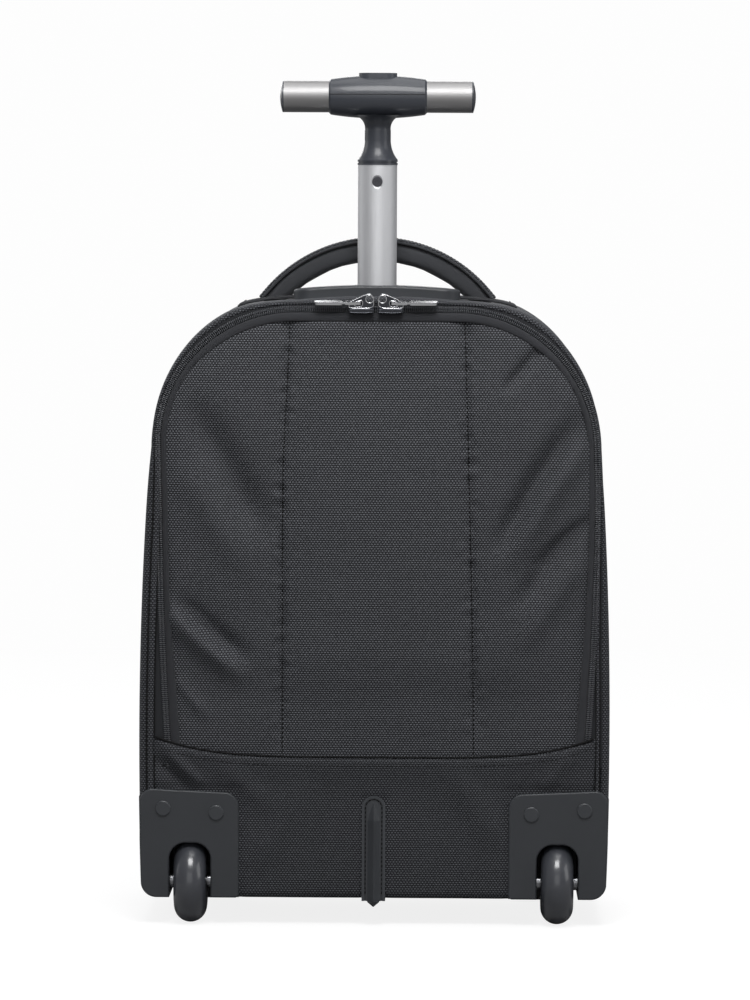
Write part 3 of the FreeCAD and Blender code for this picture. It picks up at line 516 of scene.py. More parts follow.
YARN_PITCH = (0.00235, 0.00173)
YARN_SIZE = (0.00118, 0.00078)
YARN_HEIGHT = 0.00030


def woven_material(name, ground, grain):
    """Ballistic-type weave: a staggered lattice of yarn crowns painted bright over a ground painted dark,
    the painted highlights of the crowns and the painted shade between them.
    """
    material, tree, shader = new_material(name)
    u, v, place = face_coordinates(tree)
    crown = dot_lattice(tree, u, v, YARN_PITCH, YARN_SIZE, soft=0.75)
    broad = noise_value(tree, place, 9.0, 3.0)
    uneven = noise_value(tree, place, 420.0, 2.0)
    streak = noise_value(tree, stretched(tree, place, (260.0, 260.0, 1400.0)), 1.0, 1.0)
    # painted highlight: the crowns take the bright grain colour, made brighter in places by noise; the
    # ground between them is painted shade
    dull, bright, brightest = tints(grain, 0.86, 1.16, 1.6)
    light = blend_colours(tree, broad, dull, bright)
    light = blend_colours(tree, calc(tree, "MULTIPLY", uneven, 0.5), light, brightest)
    colour = blend_colours(tree, crown, ground, light)
    tree.links.new(colour, shader.inputs["Base Color"])
    tree.links.new(blend_values(tree, streak, 0.64, 0.78), shader.inputs["Roughness"])
    set_shader(shader, sheen_weight=0.05, sheen_roughness=0.45, sheen_tint=(0.75, 0.8, 0.9, 1),
               specular_ior_level=0.22)
    height = calc(tree, "ADD", calc(tree, "MULTIPLY", streak, 0.25), crown)
    add_bump(tree, shader, height, YARN_HEIGHT)
    return material


def cloth_material(name, colour, pitch, sheen, depth=0.00012, roughness=0.8, ribs=False):
    """Fine plain weave, or the ribs of a tape."""
    material, tree, shader = new_material(name)
    u, v, place = face_coordinates(tree)
    turn = 2 * math.pi / pitch
    down = calc(tree, "SINE", calc(tree, "MULTIPLY", v, turn))
    spread, part = (0.35, 0.15) if ribs else (1.0, 0.5)
    across = calc(tree, "SINE", calc(tree, "MULTIPLY", u, turn * spread))
    yarns = calc(tree, "ADD", calc(tree, "MULTIPLY", down, 0.5), calc(tree, "MULTIPLY", across, part))
    broad = noise_value(tree, place, 14.0, 3.0)
    fine = noise_value(tree, place, 700.0, 2.0)
    shade = calc(tree, "ADD", calc(tree, "MULTIPLY", yarns, 0.22), calc(tree, "MULTIPLY", fine, 0.5))
    dull, bright, brightest = tints(colour, 0.82, 1.2, 1.9)
    base = blend_colours(tree, broad, dull, bright)
    lit = blend_colours(tree, calc(tree, "MULTIPLY", shade, 0.7, clamp=True), base, brightest)
    tree.links.new(lit, shader.inputs["Base Color"])
    tree.links.new(blend_values(tree, fine, roughness - 0.08, roughness + 0.1), shader.inputs["Roughness"])
    set_shader(shader, sheen_weight=sheen, sheen_roughness=0.5, specular_ior_level=0.3)
    add_bump(tree, shader, calc(tree, "ADD", yarns, fine), depth)
    return material


HOLE_PITCH = 0.0042


def mesh_cloth_material(name, colour, hole_shade):
    """Spacer mesh of the padded parts: round holes in a knitted face, painted near black as the shade inside
    them.
    """
    material, tree, shader = new_material(name)
    u, v, place = face_coordinates(tree)
    pitch = (HOLE_PITCH, HOLE_PITCH * 0.62)
    hole = dot_lattice(tree, u, v, pitch, (HOLE_PITCH * 0.26, HOLE_PITCH * 0.2), soft=0.4)
    fine = noise_value(tree, place, 900.0, 2.0)
    base = blend_colours(tree, fine, *tints(colour, 0.75, 1.3))
    tree.links.new(blend_colours(tree, hole, base, hole_shade), shader.inputs["Base Color"])
    tree.links.new(blend_values(tree, fine, 0.8, 0.95), shader.inputs["Roughness"])
    set_shader(shader, sheen_weight=0.3, specular_ior_level=0.25)
    add_bump(tree, shader, calc(tree, "SUBTRACT", calc(tree, "MULTIPLY", fine, 0.3), hole), 0.0006)
    return material


EDGE_HIGHLIGHT = 0.32


def plastic_material(name, colour, roughness=0.42, grain=900.0, depth=0.00006, coat=0.0):
    """Moulded plastic with a spark-eroded grain, and painted paler in patches along its sharp edges: a
    painted edge highlight.
    """
    material, tree, shader = new_material(name)
    place = object_place(tree)
    fine = noise_value(tree, place, grain, 3.0, 0.6)
    broad = noise_value(tree, place, 22.0, 3.0)
    scuff = noise_value(tree, stretched(tree, place, (60.0, 60.0, 260.0)), 1.0, 4.0, 0.7)
    edge = put(tree, "ShaderNodeNewGeometry").outputs["Pointiness"]
    values = [("Value", edge), ("From Min", 0.52), ("From Max", 0.62)]
    edge_highlight = put(tree, "ShaderNodeMapRange", values).outputs[0]
    edge_highlight = calc(tree, "MULTIPLY", calc(tree, "MULTIPLY", edge_highlight, broad), EDGE_HIGHLIGHT)
    base = blend_colours(tree, broad, *tints(colour, 0.88, 1.12))
    # painted highlight: sharp edges lightened where the broad noise is high
    highlighted = blend_colours(tree, edge_highlight, base, [min(1, c * 2.6 + 0.03) for c in colour])
    tree.links.new(highlighted, shader.inputs["Base Color"])
    rough = calc(tree, "ADD", blend_values(tree, scuff, roughness - 0.07, roughness + 0.09),
                 calc(tree, "MULTIPLY", fine, 0.06))
    tree.links.new(rough, shader.inputs["Roughness"])
    set_shader(shader, specular_ior_level=0.5, coat_weight=coat, coat_roughness=0.12)
    add_bump(tree, shader, fine, depth)
    return material


def metal_material(name, colour, roughness, brush=(1.0, 1.0, 1.0), brush_scale=900.0, depth=0.00001,
                   wear=0.06):
    """Metal with brush marks or a draw direction; brush stretches the marks."""
    material, tree, shader = new_material(name)
    place = object_place(tree)
    marks = noise_value(tree, stretched(tree, place, [b * brush_scale for b in brush]), 1.0, 3.0, 0.6)
    broad = noise_value(tree, place, 30.0, 3.0)
    dark, shaded = tints(colour, 1 - wear, 0.8)
    base = blend_colours(tree, marks, dark, [min(1, c * (1 + wear)) for c in colour])
    shade = blend_colours(tree, calc(tree, "MULTIPLY", broad, 0.3), base, shaded)
    tree.links.new(shade, shader.inputs["Base Color"])
    set_shader(shader, metallic=1.0)
    rough = calc(tree, "ADD", blend_values(tree, marks, roughness - 0.05, roughness + 0.06),
                 calc(tree, "MULTIPLY", broad, 0.04))
    tree.links.new(rough, shader.inputs["Roughness"])
    if depth:
        add_bump(tree, shader, marks, depth)
    return material


def rubber_material(name, colour, roughness=0.35):
    """Glossy cast wheel rubber with fine dust and mould marks."""
    material, tree, shader = new_material(name)
    place = object_place(tree)
    fine = noise_value(tree, place, 600.0, 3.0)
    dust = noise_value(tree, place, 45.0, 4.0, 0.65)
    base = blend_colours(tree, dust, [c * 0.85 for c in colour], [c * 1.2 + 0.004 for c in colour])
    tree.links.new(base, shader.inputs["Base Color"])
    tree.links.new(blend_values(tree, dust, roughness - 0.1, roughness + 0.14), shader.inputs["Roughness"])
    set_shader(shader, coat_weight=0.9, coat_roughness=0.14)
    add_bump(tree, shader, fine, 0.00003)
    return material


SHELL = woven_material("shell_weave", (0.018, 0.0185, 0.021), (0.132, 0.137, 0.150))
# painted shade: darker copies of the shell weave, for the lower rear panel and the underside, and for the
# gusset and its piping
SHELL_SHADED = woven_material("shell_weave_shaded", (0.016, 0.0165, 0.019), (0.090, 0.094, 0.103))
GUSSET_CLOTH = woven_material("gusset_weave_shaded", (0.015, 0.0155, 0.018), (0.100, 0.104, 0.114))
BINDING = cloth_material("binding_tape", (0.027, 0.028, 0.032), pitch=0.0008, sheen=0.15)
PIPING = cloth_material("piping_cloth", (0.024, 0.025, 0.028), pitch=0.0007, sheen=0.2)
TAPE = cloth_material("zip_tape", (0.020, 0.021, 0.024), pitch=0.0007, sheen=0.12)
# near-black cloth for the cords and stitches laid in grooves and gaps: painted shadow
SHADOW_CLOTH = cloth_material("painted_shadow_cloth", (0.0045, 0.0045, 0.005), pitch=0.0007, sheen=0.0)
LINING = cloth_material("lining_cloth", (0.075, 0.078, 0.085), pitch=0.0006, sheen=0.1, roughness=0.62)
WEBBING = cloth_material("webbing", (0.022, 0.023, 0.026), pitch=0.0013, depth=0.0003, sheen=0.22, ribs=True)
PAD_CLOTH = cloth_material("pad_cloth", (0.042, 0.044, 0.049), pitch=0.0007, sheen=0.3)
AIR_MESH = mesh_cloth_material("air_mesh", (0.040, 0.042, 0.047), (0.006, 0.006, 0.007))
THREAD = cloth_material("sewing_thread", (0.009, 0.009, 0.010), pitch=0.0005, depth=0.00005, sheen=0.05)
COIL_PLASTIC = plastic_material("zip_coil", (0.075, 0.078, 0.086), roughness=0.28, grain=3000.0,
                                depth=0.00001)
TRIM = plastic_material("trim_plastic", (0.034, 0.037, 0.042))
GRIP_PLASTIC = plastic_material("grip_plastic", (0.036, 0.040, 0.050), coat=0.30, grain=500.0, depth=0.00012)
BUTTON_PLASTIC = plastic_material("button_plastic", (0.038, 0.046, 0.058), roughness=0.36)
# near-black for the cords along the grip's parting line: painted shadow
SHADOW_PLASTIC = plastic_material("parting_line_painted_shadow", (0.006, 0.006, 0.007), roughness=0.6)
BOARD = plastic_material("board_plastic", (0.030, 0.031, 0.034), roughness=0.55)
WHEEL_PLASTIC = plastic_material("wheel_plastic", (0.048, 0.051, 0.060), roughness=0.36, coat=0.1)
TUBE_METAL = metal_material("tube_aluminium", (0.82, 0.825, 0.84), 0.56, brush=(1.0, 1.0, 0.03),
                            brush_scale=1500)
GRIP_METAL = metal_material("grip_aluminium", (0.345, 0.34, 0.34), 0.50, brush=(0.03, 1.0, 1.0),
                            brush_scale=1500)
ZIP_METAL = metal_material("zip_metal", (0.80, 0.805, 0.82), 0.20, brush_scale=200, depth=0.0, wear=0.03)
ZIP_DARK = metal_material("zip_dark_metal", (0.12, 0.125, 0.14), 0.24, brush_scale=200, depth=0.0, wear=0.05)
STEEL = metal_material("steel", (0.46, 0.47, 0.49), 0.28)
SCREW_STEEL = metal_material("screw_steel", (0.10, 0.10, 0.11), 0.35)
TYRE = rubber_material("tyre_rubber", (0.044, 0.047, 0.056))
FOOT_RUBBER = rubber_material("foot_rubber", (0.018, 0.018, 0.019), roughness=0.6)

CAD_MATERIALS = (
    (BOARD, "frame_board base_tray"),
    (TUBE_METAL, "outer_tube middle_tube inner_tube"),
    (GRIP_PLASTIC, "middle_bush middle_lock_block inner_lock_block tube_foot_bracket grip_body grip_cover"),
    (GRIP_PLASTIC, "end_caps button_ring"),
    (BUTTON_PLASTIC, "push_button"),
    (GRIP_METAL, "grip_bar"),
    (STEEL, "inner_lock_bolt middle_lock_bolt wheel_axles axle_washers button_spring push_rod"),
    (SCREW_STEEL, "case_screws tube_screw"),
    (TRIM, "bezel ladder_locks wheel_housing_left wheel_housing_right guard_rivets"),
    (TRIM, "kick_strip handle_anchors"),
    (FOOT_RUBBER, "stand_feet"),
    (TYRE, "tyre_left tyre_right"),
    (WHEEL_PLASTIC, "wheel_core_left wheel_core_right"),
    (ZIP_DARK, "rear_slider_left rear_slider_right lid_slider_left lid_slider_right pocket_slider"),
    (ZIP_METAL, "rear_pull_left rear_pull_right"),
)


def dress_cad_parts():
    """Gives every CAD piece its material."""
    chosen = {name: material for material, names in CAD_MATERIALS for name in names.split()}
    for name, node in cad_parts.items():
        material = chosen.get(name, SHELL)
        if not node.data.materials:
            node.data.materials.append(material)
        for place in range(len(node.material_slots)):
            node.material_slots[place].material = material


# ---- camera, light and floor -----------------------------------------------------------
VIEW_SIDE = math.radians(0.8)
VIEW_ROLL = math.radians(0.28)
VIEW_RANGE = 3.80
VIEW_HEIGHT = 0.56
SENSOR_HEIGHT = 36.0        # millimetres
LENS = 180.0
AIM = Vector((-0.0002, REAR_Y, 0.3262))


def set_camera():
    """A long lens a little to the right of the case's middle and above its own."""
    camera_data = bpy.data.cameras.new("camera")
    camera_data.sensor_fit = "VERTICAL"
    camera_data.sensor_height = SENSOR_HEIGHT
    camera_data.lens = LENS
    camera = bpy.data.objects.new("camera", camera_data)
    bpy.context.scene.collection.objects.link(camera)
    place_y = REAR_Y - math.cos(VIEW_SIDE) * VIEW_RANGE
    place = Vector((math.sin(VIEW_SIDE) * VIEW_RANGE, place_y, VIEW_HEIGHT))
    look = (AIM - place).to_track_quat("-Z", "Y").to_matrix().to_4x4()
    camera.matrix_world = Matrix.Translation(place) @ look @ Matrix.Rotation(VIEW_ROLL, 4, "Z")
    bpy.context.scene.camera = camera


# name, place, size, radiance
SOFT_PANELS = (
    ("front_panel", (0.0, -4.6, 1.05), (3.0, 2.6), 0.72),
    ("key_panel", (0.06, -1.02, 1.62), (0.85, 0.65), 11.0),
    ("top_panel", (0.2, 0.2, 2.6), (1.8, 1.6), 1.8),
    ("side_panel", (3.2, -1.0, 1.4), (1.6, 2.0), 1.4),
    ("back_panel", (-0.8, 4.2, 1.9), (3.0, 2.4), 3.4),
    ("left_panel", (-3.4, 1.2, 1.5), (1.8, 2.0), 1.4),
)
LIT_POINT = Vector((0, 0, 0.32))
FLOOR_REACH = 60.0


def soft_panel(name, place, size, radiance):
    """A softbox that throws light and shows in gloss, and isn't seen itself."""
    data = bpy.data.lights.new(name, "AREA")
    data.shape = "RECTANGLE"
    data.size, data.size_y = size
    data.energy = radiance * math.pi * size[0] * size[1]
    light = bpy.data.objects.new(name, data)
    bpy.context.scene.collection.objects.link(light)
    light.location = place
    light.rotation_euler = (LIT_POINT - Vector(place)).to_track_quat("-Z", "Y").to_euler()
    light.visible_camera = False


def seen_or_lighting(tree, seen, lighting):
    """One tone where the stage is looked at, and another for the light that it throws on the case."""
    ray = put(tree, "ShaderNodeLightPath").outputs["Is Camera Ray"]
    return blend_colours(tree, ray, lighting, seen)


def set_studio():
    """Soft light from all sides, strongest from above the near face."""
    scene = bpy.context.scene
    scene.view_settings.view_transform = "Standard"
    world = bpy.data.worlds.new("studio")
    scene.world = world
    world.use_nodes = True
    sky = world.node_tree.nodes["Background"]
    tone = seen_or_lighting(world.node_tree, (0.985, 0.985, 0.985), (0.24, 0.243, 0.252))
    world.node_tree.links.new(tone, sky.inputs["Color"])
    for light in SOFT_PANELS:
        soft_panel(*light)
    lay_floor()


def lay_floor():
    """A pale floor that fades into the background away from the case."""
    mesh = bpy.data.meshes.new("floor")
    corners = [(x * FLOOR_REACH, y * FLOOR_REACH, 0) for x, y in ((-1, -1), (1, -1), (1, 1), (-1, 1))]
    mesh.from_pydata(corners, [], [(0, 1, 2, 3)])
    floor = bpy.data.objects.new("floor", mesh)
    bpy.context.scene.collection.objects.link(floor)
    material, tree, shader = new_material("pale_floor")
    drift = noise_value(tree, object_place(tree), 0.6, 2.0)
    pale = blend_colours(tree, drift, (0.20, 0.20, 0.20), (0.24, 0.24, 0.24))
    values = [("Vector", object_place(tree))]
    away = put(tree, "ShaderNodeVectorMath", values, operation="LENGTH").outputs["Value"]
    far = put(tree, "ShaderNodeMapRange", [("Value", away), ("From Min", 0.7), ("From Max", 2.2)]).outputs[0]
    seen_base = blend_colours(tree, far, pale, (0, 0, 0))
    seen_glow = blend_colours(tree, far, (0.84, 0.84, 0.84), (0.985, 0.985, 0.985))
    tree.links.new(seen_or_lighting(tree, seen_base, (0.30, 0.30, 0.30)), shader.inputs["Base Color"])
    tree.links.new(seen_or_lighting(tree, seen_glow, (0, 0, 0)), shader.inputs["Emission Color"])
    set_shader(shader, specular_ior_level=0.0, emission_strength=1.0, roughness=0.9)
    mesh.materials.append(material)


# ---- the gusset: side walls and crown in one skin --------------------------------------
CASE_LINE = case_line()
REAR_LINE = rear_zip_line(low=SPLIT_Z)
FRONT_LINE = front_zip_line(low=SPLIT_Z)
ROLL_WIDTH = 0.0072         # padded roll along the rear edge
ROLL_TURN = math.radians(132)
PIPING_HALF = 0.0027
SHADOW_CORD = 0.0007
ROLL_SINK = 0.0012
ROLL_STEPS = 12
WALL_STEPS = 26
WALL_HOLLOW = 0.0012        # how far the side walls are drawn in at mid-depth
GUSSET_THICK = 0.0022
THIN_FROM, THIN_TO = 0.300, 0.420   # the edge piping thins between these heights
HOLE_GAP = 0.0015           # round the trolley's outer tube


def gap_fields(zip_line):
    """For each place along the arch: the way from the case's edge to the zipper, and how far it is."""
    run = zip_line - CASE_LINE
    gap = np.linalg.norm(run, axis=1)
    return run / gap[:, None], gap


REAR_WAY, REAR_GAP = gap_fields(REAR_LINE)
FRONT_WAY, FRONT_GAP = gap_fields(FRONT_LINE)
ROLL = np.minimum(ROLL_WIDTH, 0.66 * REAR_GAP)
FRONT_ROLL = np.minimum(ROLL_WIDTH, 0.66 * FRONT_GAP)


def make_gusset():
    """Side walls and crown in one lined skin, rolled over the edges of both faces."""
    count = len(CASE_LINE)
    rings = []
    full_turn = 1 - math.cos(ROLL_TURN)
    for k in range(ROLL_STEPS):
        # the roll turns past the face, into the seam groove
        angle = ROLL_TURN * (1 - k / (ROLL_STEPS - 1))
        inset = ROLL * (1 - math.cos(angle)) / full_turn
        y = REAR_Y - ROLL_SINK + CORNER_DEPTH * (1 - math.sin(angle))
        rings.append(at_depth(CASE_LINE + REAR_WAY * inset[:, None], y))
    depth_low, depth_high = REAR_Y - ROLL_SINK + CORNER_DEPTH, FRONT_Y - CORNER_DEPTH
    for k in range(1, WALL_STEPS):
        t = k / WALL_STEPS
        hollow = WALL_HOLLOW * math.sin(math.pi * t) ** 2
        rings.append(at_depth(CASE_LINE + REAR_WAY * hollow, depth_low + (depth_high - depth_low) * t))
    for k in range(ROLL_STEPS):
        angle = ROLL_TURN * k / (ROLL_STEPS - 1)
        inset = FRONT_ROLL * (1 - math.cos(angle)) / full_turn
        y = FRONT_Y - CORNER_DEPTH * (1 - math.sin(angle))
        rings.append(at_depth(CASE_LINE + FRONT_WAY * inset[:, None], y))
    verts = np.concatenate(rings)
    x, y, z = verts.T
    # soft waves on the long side walls, none along the seams
    inside = smooth_step(y, REAR_Y + 0.012, REAR_Y + 0.05)
    inside *= 1 - smooth_step(y, FRONT_Y - 0.05, FRONT_Y - 0.012)
    wave = rumple(x, y, z, 0.055, 3.1) * 0.0011 + rumple(x, y, z, 0.023, 7.7) * 0.0004
    out = np.sign(x) * (np.abs(x) > 0.1)
    verts[:, 0] += out * inside * (wave - 0.0010)
    verts[:, 2] += (1 - np.abs(out)) * inside * (wave * 0.6 - 0.0006)
    piece = make_piece("gusset_skin", verts, grid_faces(len(rings), count), GUSSET_CLOTH, None)
    outward_from_centre(piece)
    line_inside(piece, GUSSET_THICK, LINING)
    cut_trolley_hole(piece)
    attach(piece, "case")
    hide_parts("crown_gusset", "side_gusset_left", "side_gusset_right")


def cut_trolley_hole(piece):
    """Cuts the round hole that the trolley passes through, out of sight under the bezel."""
    low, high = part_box("outer_tube")
    centre = (low + high) / 2
    bpy.ops.mesh.primitive_cylinder_add(vertices=48, radius=(high.x - low.x) / 2 + HOLE_GAP, depth=0.06,
                                        location=(centre.x, centre.y, high.z))
    cutter = bpy.context.object
    modifier = piece.modifiers.new("hole", "BOOLEAN")
    modifier.operation = "DIFFERENCE"
    modifier.solver = "EXACT"
    modifier.object = cutter
    apply_modifiers(piece)
    bpy.data.objects.remove(cutter)


def outward_from_centre(piece):
    """Turns the faces of an open skin away from the middle of the case."""
    shape = bmesh.new()
    shape.from_mesh(piece.data)
    middle = Vector((0, 0, 0.25))
    wrong = [f for f in shape.faces if f.normal.dot(f.calc_center_median() - middle) < 0]
    if len(wrong) * 2 > len(shape.faces):
        bmesh.ops.reverse_faces(shape, faces=shape.faces[:])
    shape.to_mesh(piece.data)
    shape.free()


def line_inside(piece, depth, lining):
    """Thickens a skin inwards and gives its inner side the lining cloth."""
    piece.data.materials.append(lining)
    modifier = piece.modifiers.new("thickness", "SOLIDIFY")
    modifier.thickness = depth
    modifier.offset = -1
    modifier.material_offset = 1
    modifier.material_offset_rim = 0
    apply_modifiers(piece)


def make_edge_piping(name, way, roll, y, low, body):
    """The corded seam beside the roll: thick along the sides, thin round the crown."""
    line = CASE_LINE + way * (roll + PIPING_HALF * 0.75)[:, None]
    line = resample(line[line[:, 1] > low], step=0.0035)
    thin = smooth_step(line[:, 1], THIN_FROM, THIN_TO)
    size = (1 - 0.62 * thin) * (1 - 0.45 * smooth_step(line[:, 0], 0.02, 0.10))
    profile = disc(PIPING_HALF, 12)
    piece = sweep(name, at_depth(line, y), profile, ALONG_Y, GUSSET_CLOTH, body, scales=size)
    # painted shadow: near-black cords in the grooves on either side of it
    normal = side_normals(line)
    for edge, way_out in (("outer", 1), ("inner", -1)):
        flat = line + normal * (way_out * (PIPING_HALF * size + 0.0001))[:, None]
        painted_shadow = at_depth(flat, y + math.copysign(1, y) * (0.0009 - 0.0007 * thin))
        profile = disc(SHADOW_CORD)
        cord = sweep(f"{name}_{edge}_seam", painted_shadow, profile, ALONG_Y, SHADOW_CLOTH, body, scales=size)


# ---- zippers ---------------------------------------------------------------------------
TOOTH_REACH = 0.00125
TOOTH_RADIUS = 0.00046
TOOTH_LEAN = 0.00018
COIL_OFFSET = 0.00118       # from the zipper's middle line to each row of turns


def make_teeth(name, line, offset, y, body, out=-1.0, pitch=TOOTH_PITCH):
    """One row of coil turns beside a zipper line; out is the Y direction the coil faces."""
    even = resample(line, step=pitch)
    normal = side_normals(even)
    lean = np.stack([normal[:, 1], -normal[:, 0]], 1)
    centres = at_depth(even + normal * offset, y)
    runs = at_depth(normal * TOOTH_REACH + lean * TOOTH_LEAN, 0.0)
    heights = np.tile(np.array([0.0, out, 0.0]), (len(runs), 1))
    piece = capsules(name, centres, runs, heights, TOOTH_RADIUS, COIL_PLASTIC, body, sides=6)
    return piece


def make_ribbon(name, line, near, far, y_near, y_far, thickness, material, body, out=-1.0, swell=0.0):
    """A strip of tape between two offsets of a line, with a slight crown across it."""
    normal = side_normals(line)
    count = len(line)
    rings = []
    for t in np.linspace(0, 1, 6):
        offset = np.broadcast_to(near + (far - near) * t, count)
        flat = line + normal * offset[:, None]
        y = y_near + (y_far - y_near) * t + out * swell * math.sin(math.pi * t)
        rings.append(at_depth(flat, y))
    rings += [ring - (0, out * thickness, 0) for ring in rings[::-1]]
    verts = np.concatenate(rings)
    total = len(rings)
    faces = grid_faces(total, count)
    faces += [((total - 1) * count + c, c, c + 1, (total - 1) * count + c + 1) for c in range(count - 1)]
    faces.append(tuple(r * count for r in range(total)))
    faces.append(tuple(r * count + count - 1 for r in range(total))[::-1])
    return outward(make_piece(name, verts, faces, material, body))


# ---- sewn panels -----------------------------------------------------------------------
def coons(left, right, bottom, top):
    """Grid of points in X and Z filling four boundary lines; left and right run upwards."""
    rows, columns = len(left), len(bottom)
    v = np.linspace(0, 1, rows)[:, None, None]
    u = np.linspace(0, 1, columns)[None, :, None]
    ruled_side = (1 - u) * left[:, None, :] + u * right[:, None, :]
    ruled_level = (1 - v) * bottom[None, :, :] + v * top[None, :, :]
    corner = ((1 - u) * (1 - v) * bottom[0] + u * (1 - v) * bottom[-1]
              + (1 - u) * v * top[0] + u * v * top[-1])
    return ruled_side + ruled_level - corner


def arch_grid(line, step):
    """Coons grid inside an arched line, with its upper corners half way round the bends."""
    corner = SIDE_STEPS - 1 + (SHOULDER_STEPS - 1) // 2
    left = line[:corner + 1]
    right = line[::-1][:corner + 1]
    top = line[corner:len(line) - corner]
    rows = int(np.linalg.norm(np.diff(left, axis=0), axis=1).sum() / step)
    columns = int(np.linalg.norm(np.diff(top, axis=0), axis=1).sum() / step)
    left, right, top = resample(left, rows), resample(right, rows), resample(top, columns)
    bottom = np.stack([np.linspace(left[0, 0], right[0, 0], columns), np.full(columns, left[0, 1])], 1)
    return coons(left, right, bottom, top)


def closed_panel(name, grid, outer_y, inner_y, material, lining):
    """Solid panel between two height fields over one grid: face, lining and rim."""
    rows, columns = grid.shape[:2]
    flat = grid.reshape(-1, 2)
    outer = at_depth(flat, outer_y)
    inner = at_depth(flat, inner_y)
    count = rows * columns
    faces = grid_faces(rows, columns)
    face_count = len(faces)
    faces += grid_faces(rows, columns, flip=True, start=count)
    faces += rim_faces(rows, columns)
    piece = make_piece(name, np.concatenate([outer, inner]), faces, material, None)
    piece.data.materials.append(lining)
    which = [0] * face_count + [1] * face_count + [0] * (len(faces) - 2 * face_count)
    piece.data.polygons.foreach_set("material_index", which)
    return outward(piece)


def ridge(x, z, ends, width, height):
    """A soft crease that runs through the given points and dies out at its two ends."""
    points = np.stack([x, z], 1)
    line = np.array(ends)
    away = distance_to(points, line)
    run = line[-1] - line[0]
    share = ((points - line[0]) @ run) / (run @ run)
    fade = smooth_step(share, -0.15, 0.3) * (1 - smooth_step(share, 0.7, 1.15))
    return height * fade * bell(away, width)


# creases pulled into the flap by the stuffing: end points (X, Z), half width, height
FLAP_CREASES = (
    (((-0.140, 0.398), (-0.112, 0.350), (-0.083, 0.300)), 0.0130, -0.0034),
    (((-0.150, 0.352), (-0.125, 0.315), (-0.100, 0.270)), 0.0110, 0.0012),
    (((-0.162, 0.245), (-0.134, 0.218), (-0.100, 0.190)), 0.0085, 0.0030),
    (((-0.150, 0.248), (-0.124, 0.226), (-0.098, 0.205)), 0.0075, -0.0026),
    (((-0.155, 0.192), (-0.142, 0.176), (-0.128, 0.160)), 0.0050, 0.0013),
    (((0.128, 0.446), (0.113, 0.428), (0.098, 0.410)), 0.0045, -0.0022),
    (((0.154, 0.390), (0.118, 0.335), (0.094, 0.290)), 0.0085, -0.0036),
    (((0.158, 0.368), (0.130, 0.325), (0.105, 0.280)), 0.0080, 0.0020),
    (((0.165, 0.314), (0.144, 0.296), (0.122, 0.276)), 0.0055, -0.0024),
    (((0.152, 0.302), (0.130, 0.275), (0.108, 0.245)), 0.0075, -0.0022),
    (((0.160, 0.285), (0.136, 0.250), (0.112, 0.215)), 0.0080, 0.0014),
)
CREASE_GAIN = 2.3


LEFT_SEAM_X, LEFT_SEAM_DRIFT = -0.0708, 0.0047
RIGHT_SEAM_X, RIGHT_SEAM_DRIFT = 0.0765, 0.0084


def left_seam_x(z):
    """Straight up the flap, and inwards over its top third."""
    return LEFT_SEAM_X + LEFT_SEAM_DRIFT * smooth_step(z, 0.33, 0.47)


def right_seam_x(z):
    """Leans inwards all the way up."""
    return RIGHT_SEAM_X - RIGHT_SEAM_DRIFT * np.clip((z - 0.134) / 0.327, 0, 1) ** 1.3


def binding_width(line):
    """Wide over the crown and at the feet, narrow round the shoulders."""
    z = line[:, 1]
    return 0.0042 + 0.0024 * smooth_step(z, 0.42, 0.465) + 0.0026 * (1 - smooth_step(z, 0.15, 0.27))


FLAP_LINE = rear_zip_line(low=FLAP_FOOT_Z)
BINDING_START = 0.0026
BINDING_THICK = 0.0011
BINDING_SWELL = 0.0008
BINDING_LAP = 0.0014        # how far the binding covers a panel's edge
TAPE_THICK = 0.0006
FLAP_EDGE_Y = REAR_Y - 0.0026
FLAP_BEND_FROM = 0.128
FLAP_ROUND = 0.0020         # the face rounds over at its edge
FLAP_SWELL = 0.0088         # and swells towards its middle
FLAP_LEAN = 0.0040          # its lower third leans in towards its foot
SEAM_GROOVE = 0.0030
SEAM_VALLEY = 0.0016
SEAM_NOTCH = 0.0020         # deeper still where a seam meets the crown
SEAM_PUCKER = 0.0021
SHELL_STEP = 0.0017         # spacing of the points on the flap


def inset_line(line, depth):
    """A line moved inwards by a depth, which may change along it."""
    return line - side_normals(line) * np.broadcast_to(depth, len(line))[:, None]


def flap_relief(grid, edge):
    """How far each place of the flap's face stands out beyond its edge."""
    flat = grid.reshape(-1, 2)
    x, z = flat.T
    away = distance_to(flat, edge)
    rise = FLAP_ROUND * filled(away, 0.0040) + FLAP_SWELL * filled(away, 0.050, 1.3)
    rise *= smooth_step(z, 0.128, 0.215)
    rise -= 0.0014 * (1 - smooth_step(z, 0.132, 0.165))
    rise -= FLAP_LEAN * smooth_step(z, 0.134, 0.180) * (1 - smooth_step(z, 0.160, 0.340))
    for painted_shadow in (left_seam_x(z), right_seam_x(z)):
        near = np.abs(x - painted_shadow)
        rise -= SEAM_GROOVE * bell(near, 0.0021) + SEAM_VALLEY * bell(near, 0.014)
        rise -= SEAM_NOTCH * bell(near, 0.0045) * smooth_step(z, 0.446, 0.463)
        pucker = rumple(x, 0, z, 0.0065, 2.2 + float(painted_shadow[0] > 0) * 5)
        rise += SEAM_PUCKER * pucker * bell(near, 0.0065)
    for ends, width, height in FLAP_CREASES:
        rise += CREASE_GAIN * ridge(x, z, ends, width, height)
    soft = smooth_step(away, 0.0, 0.02)
    rise += soft * (rumple(x, 0, z, 0.060, 4.4) * 0.0011 + rumple(x, 0, z, 0.026, 9.1) * 0.00035)
    return rise


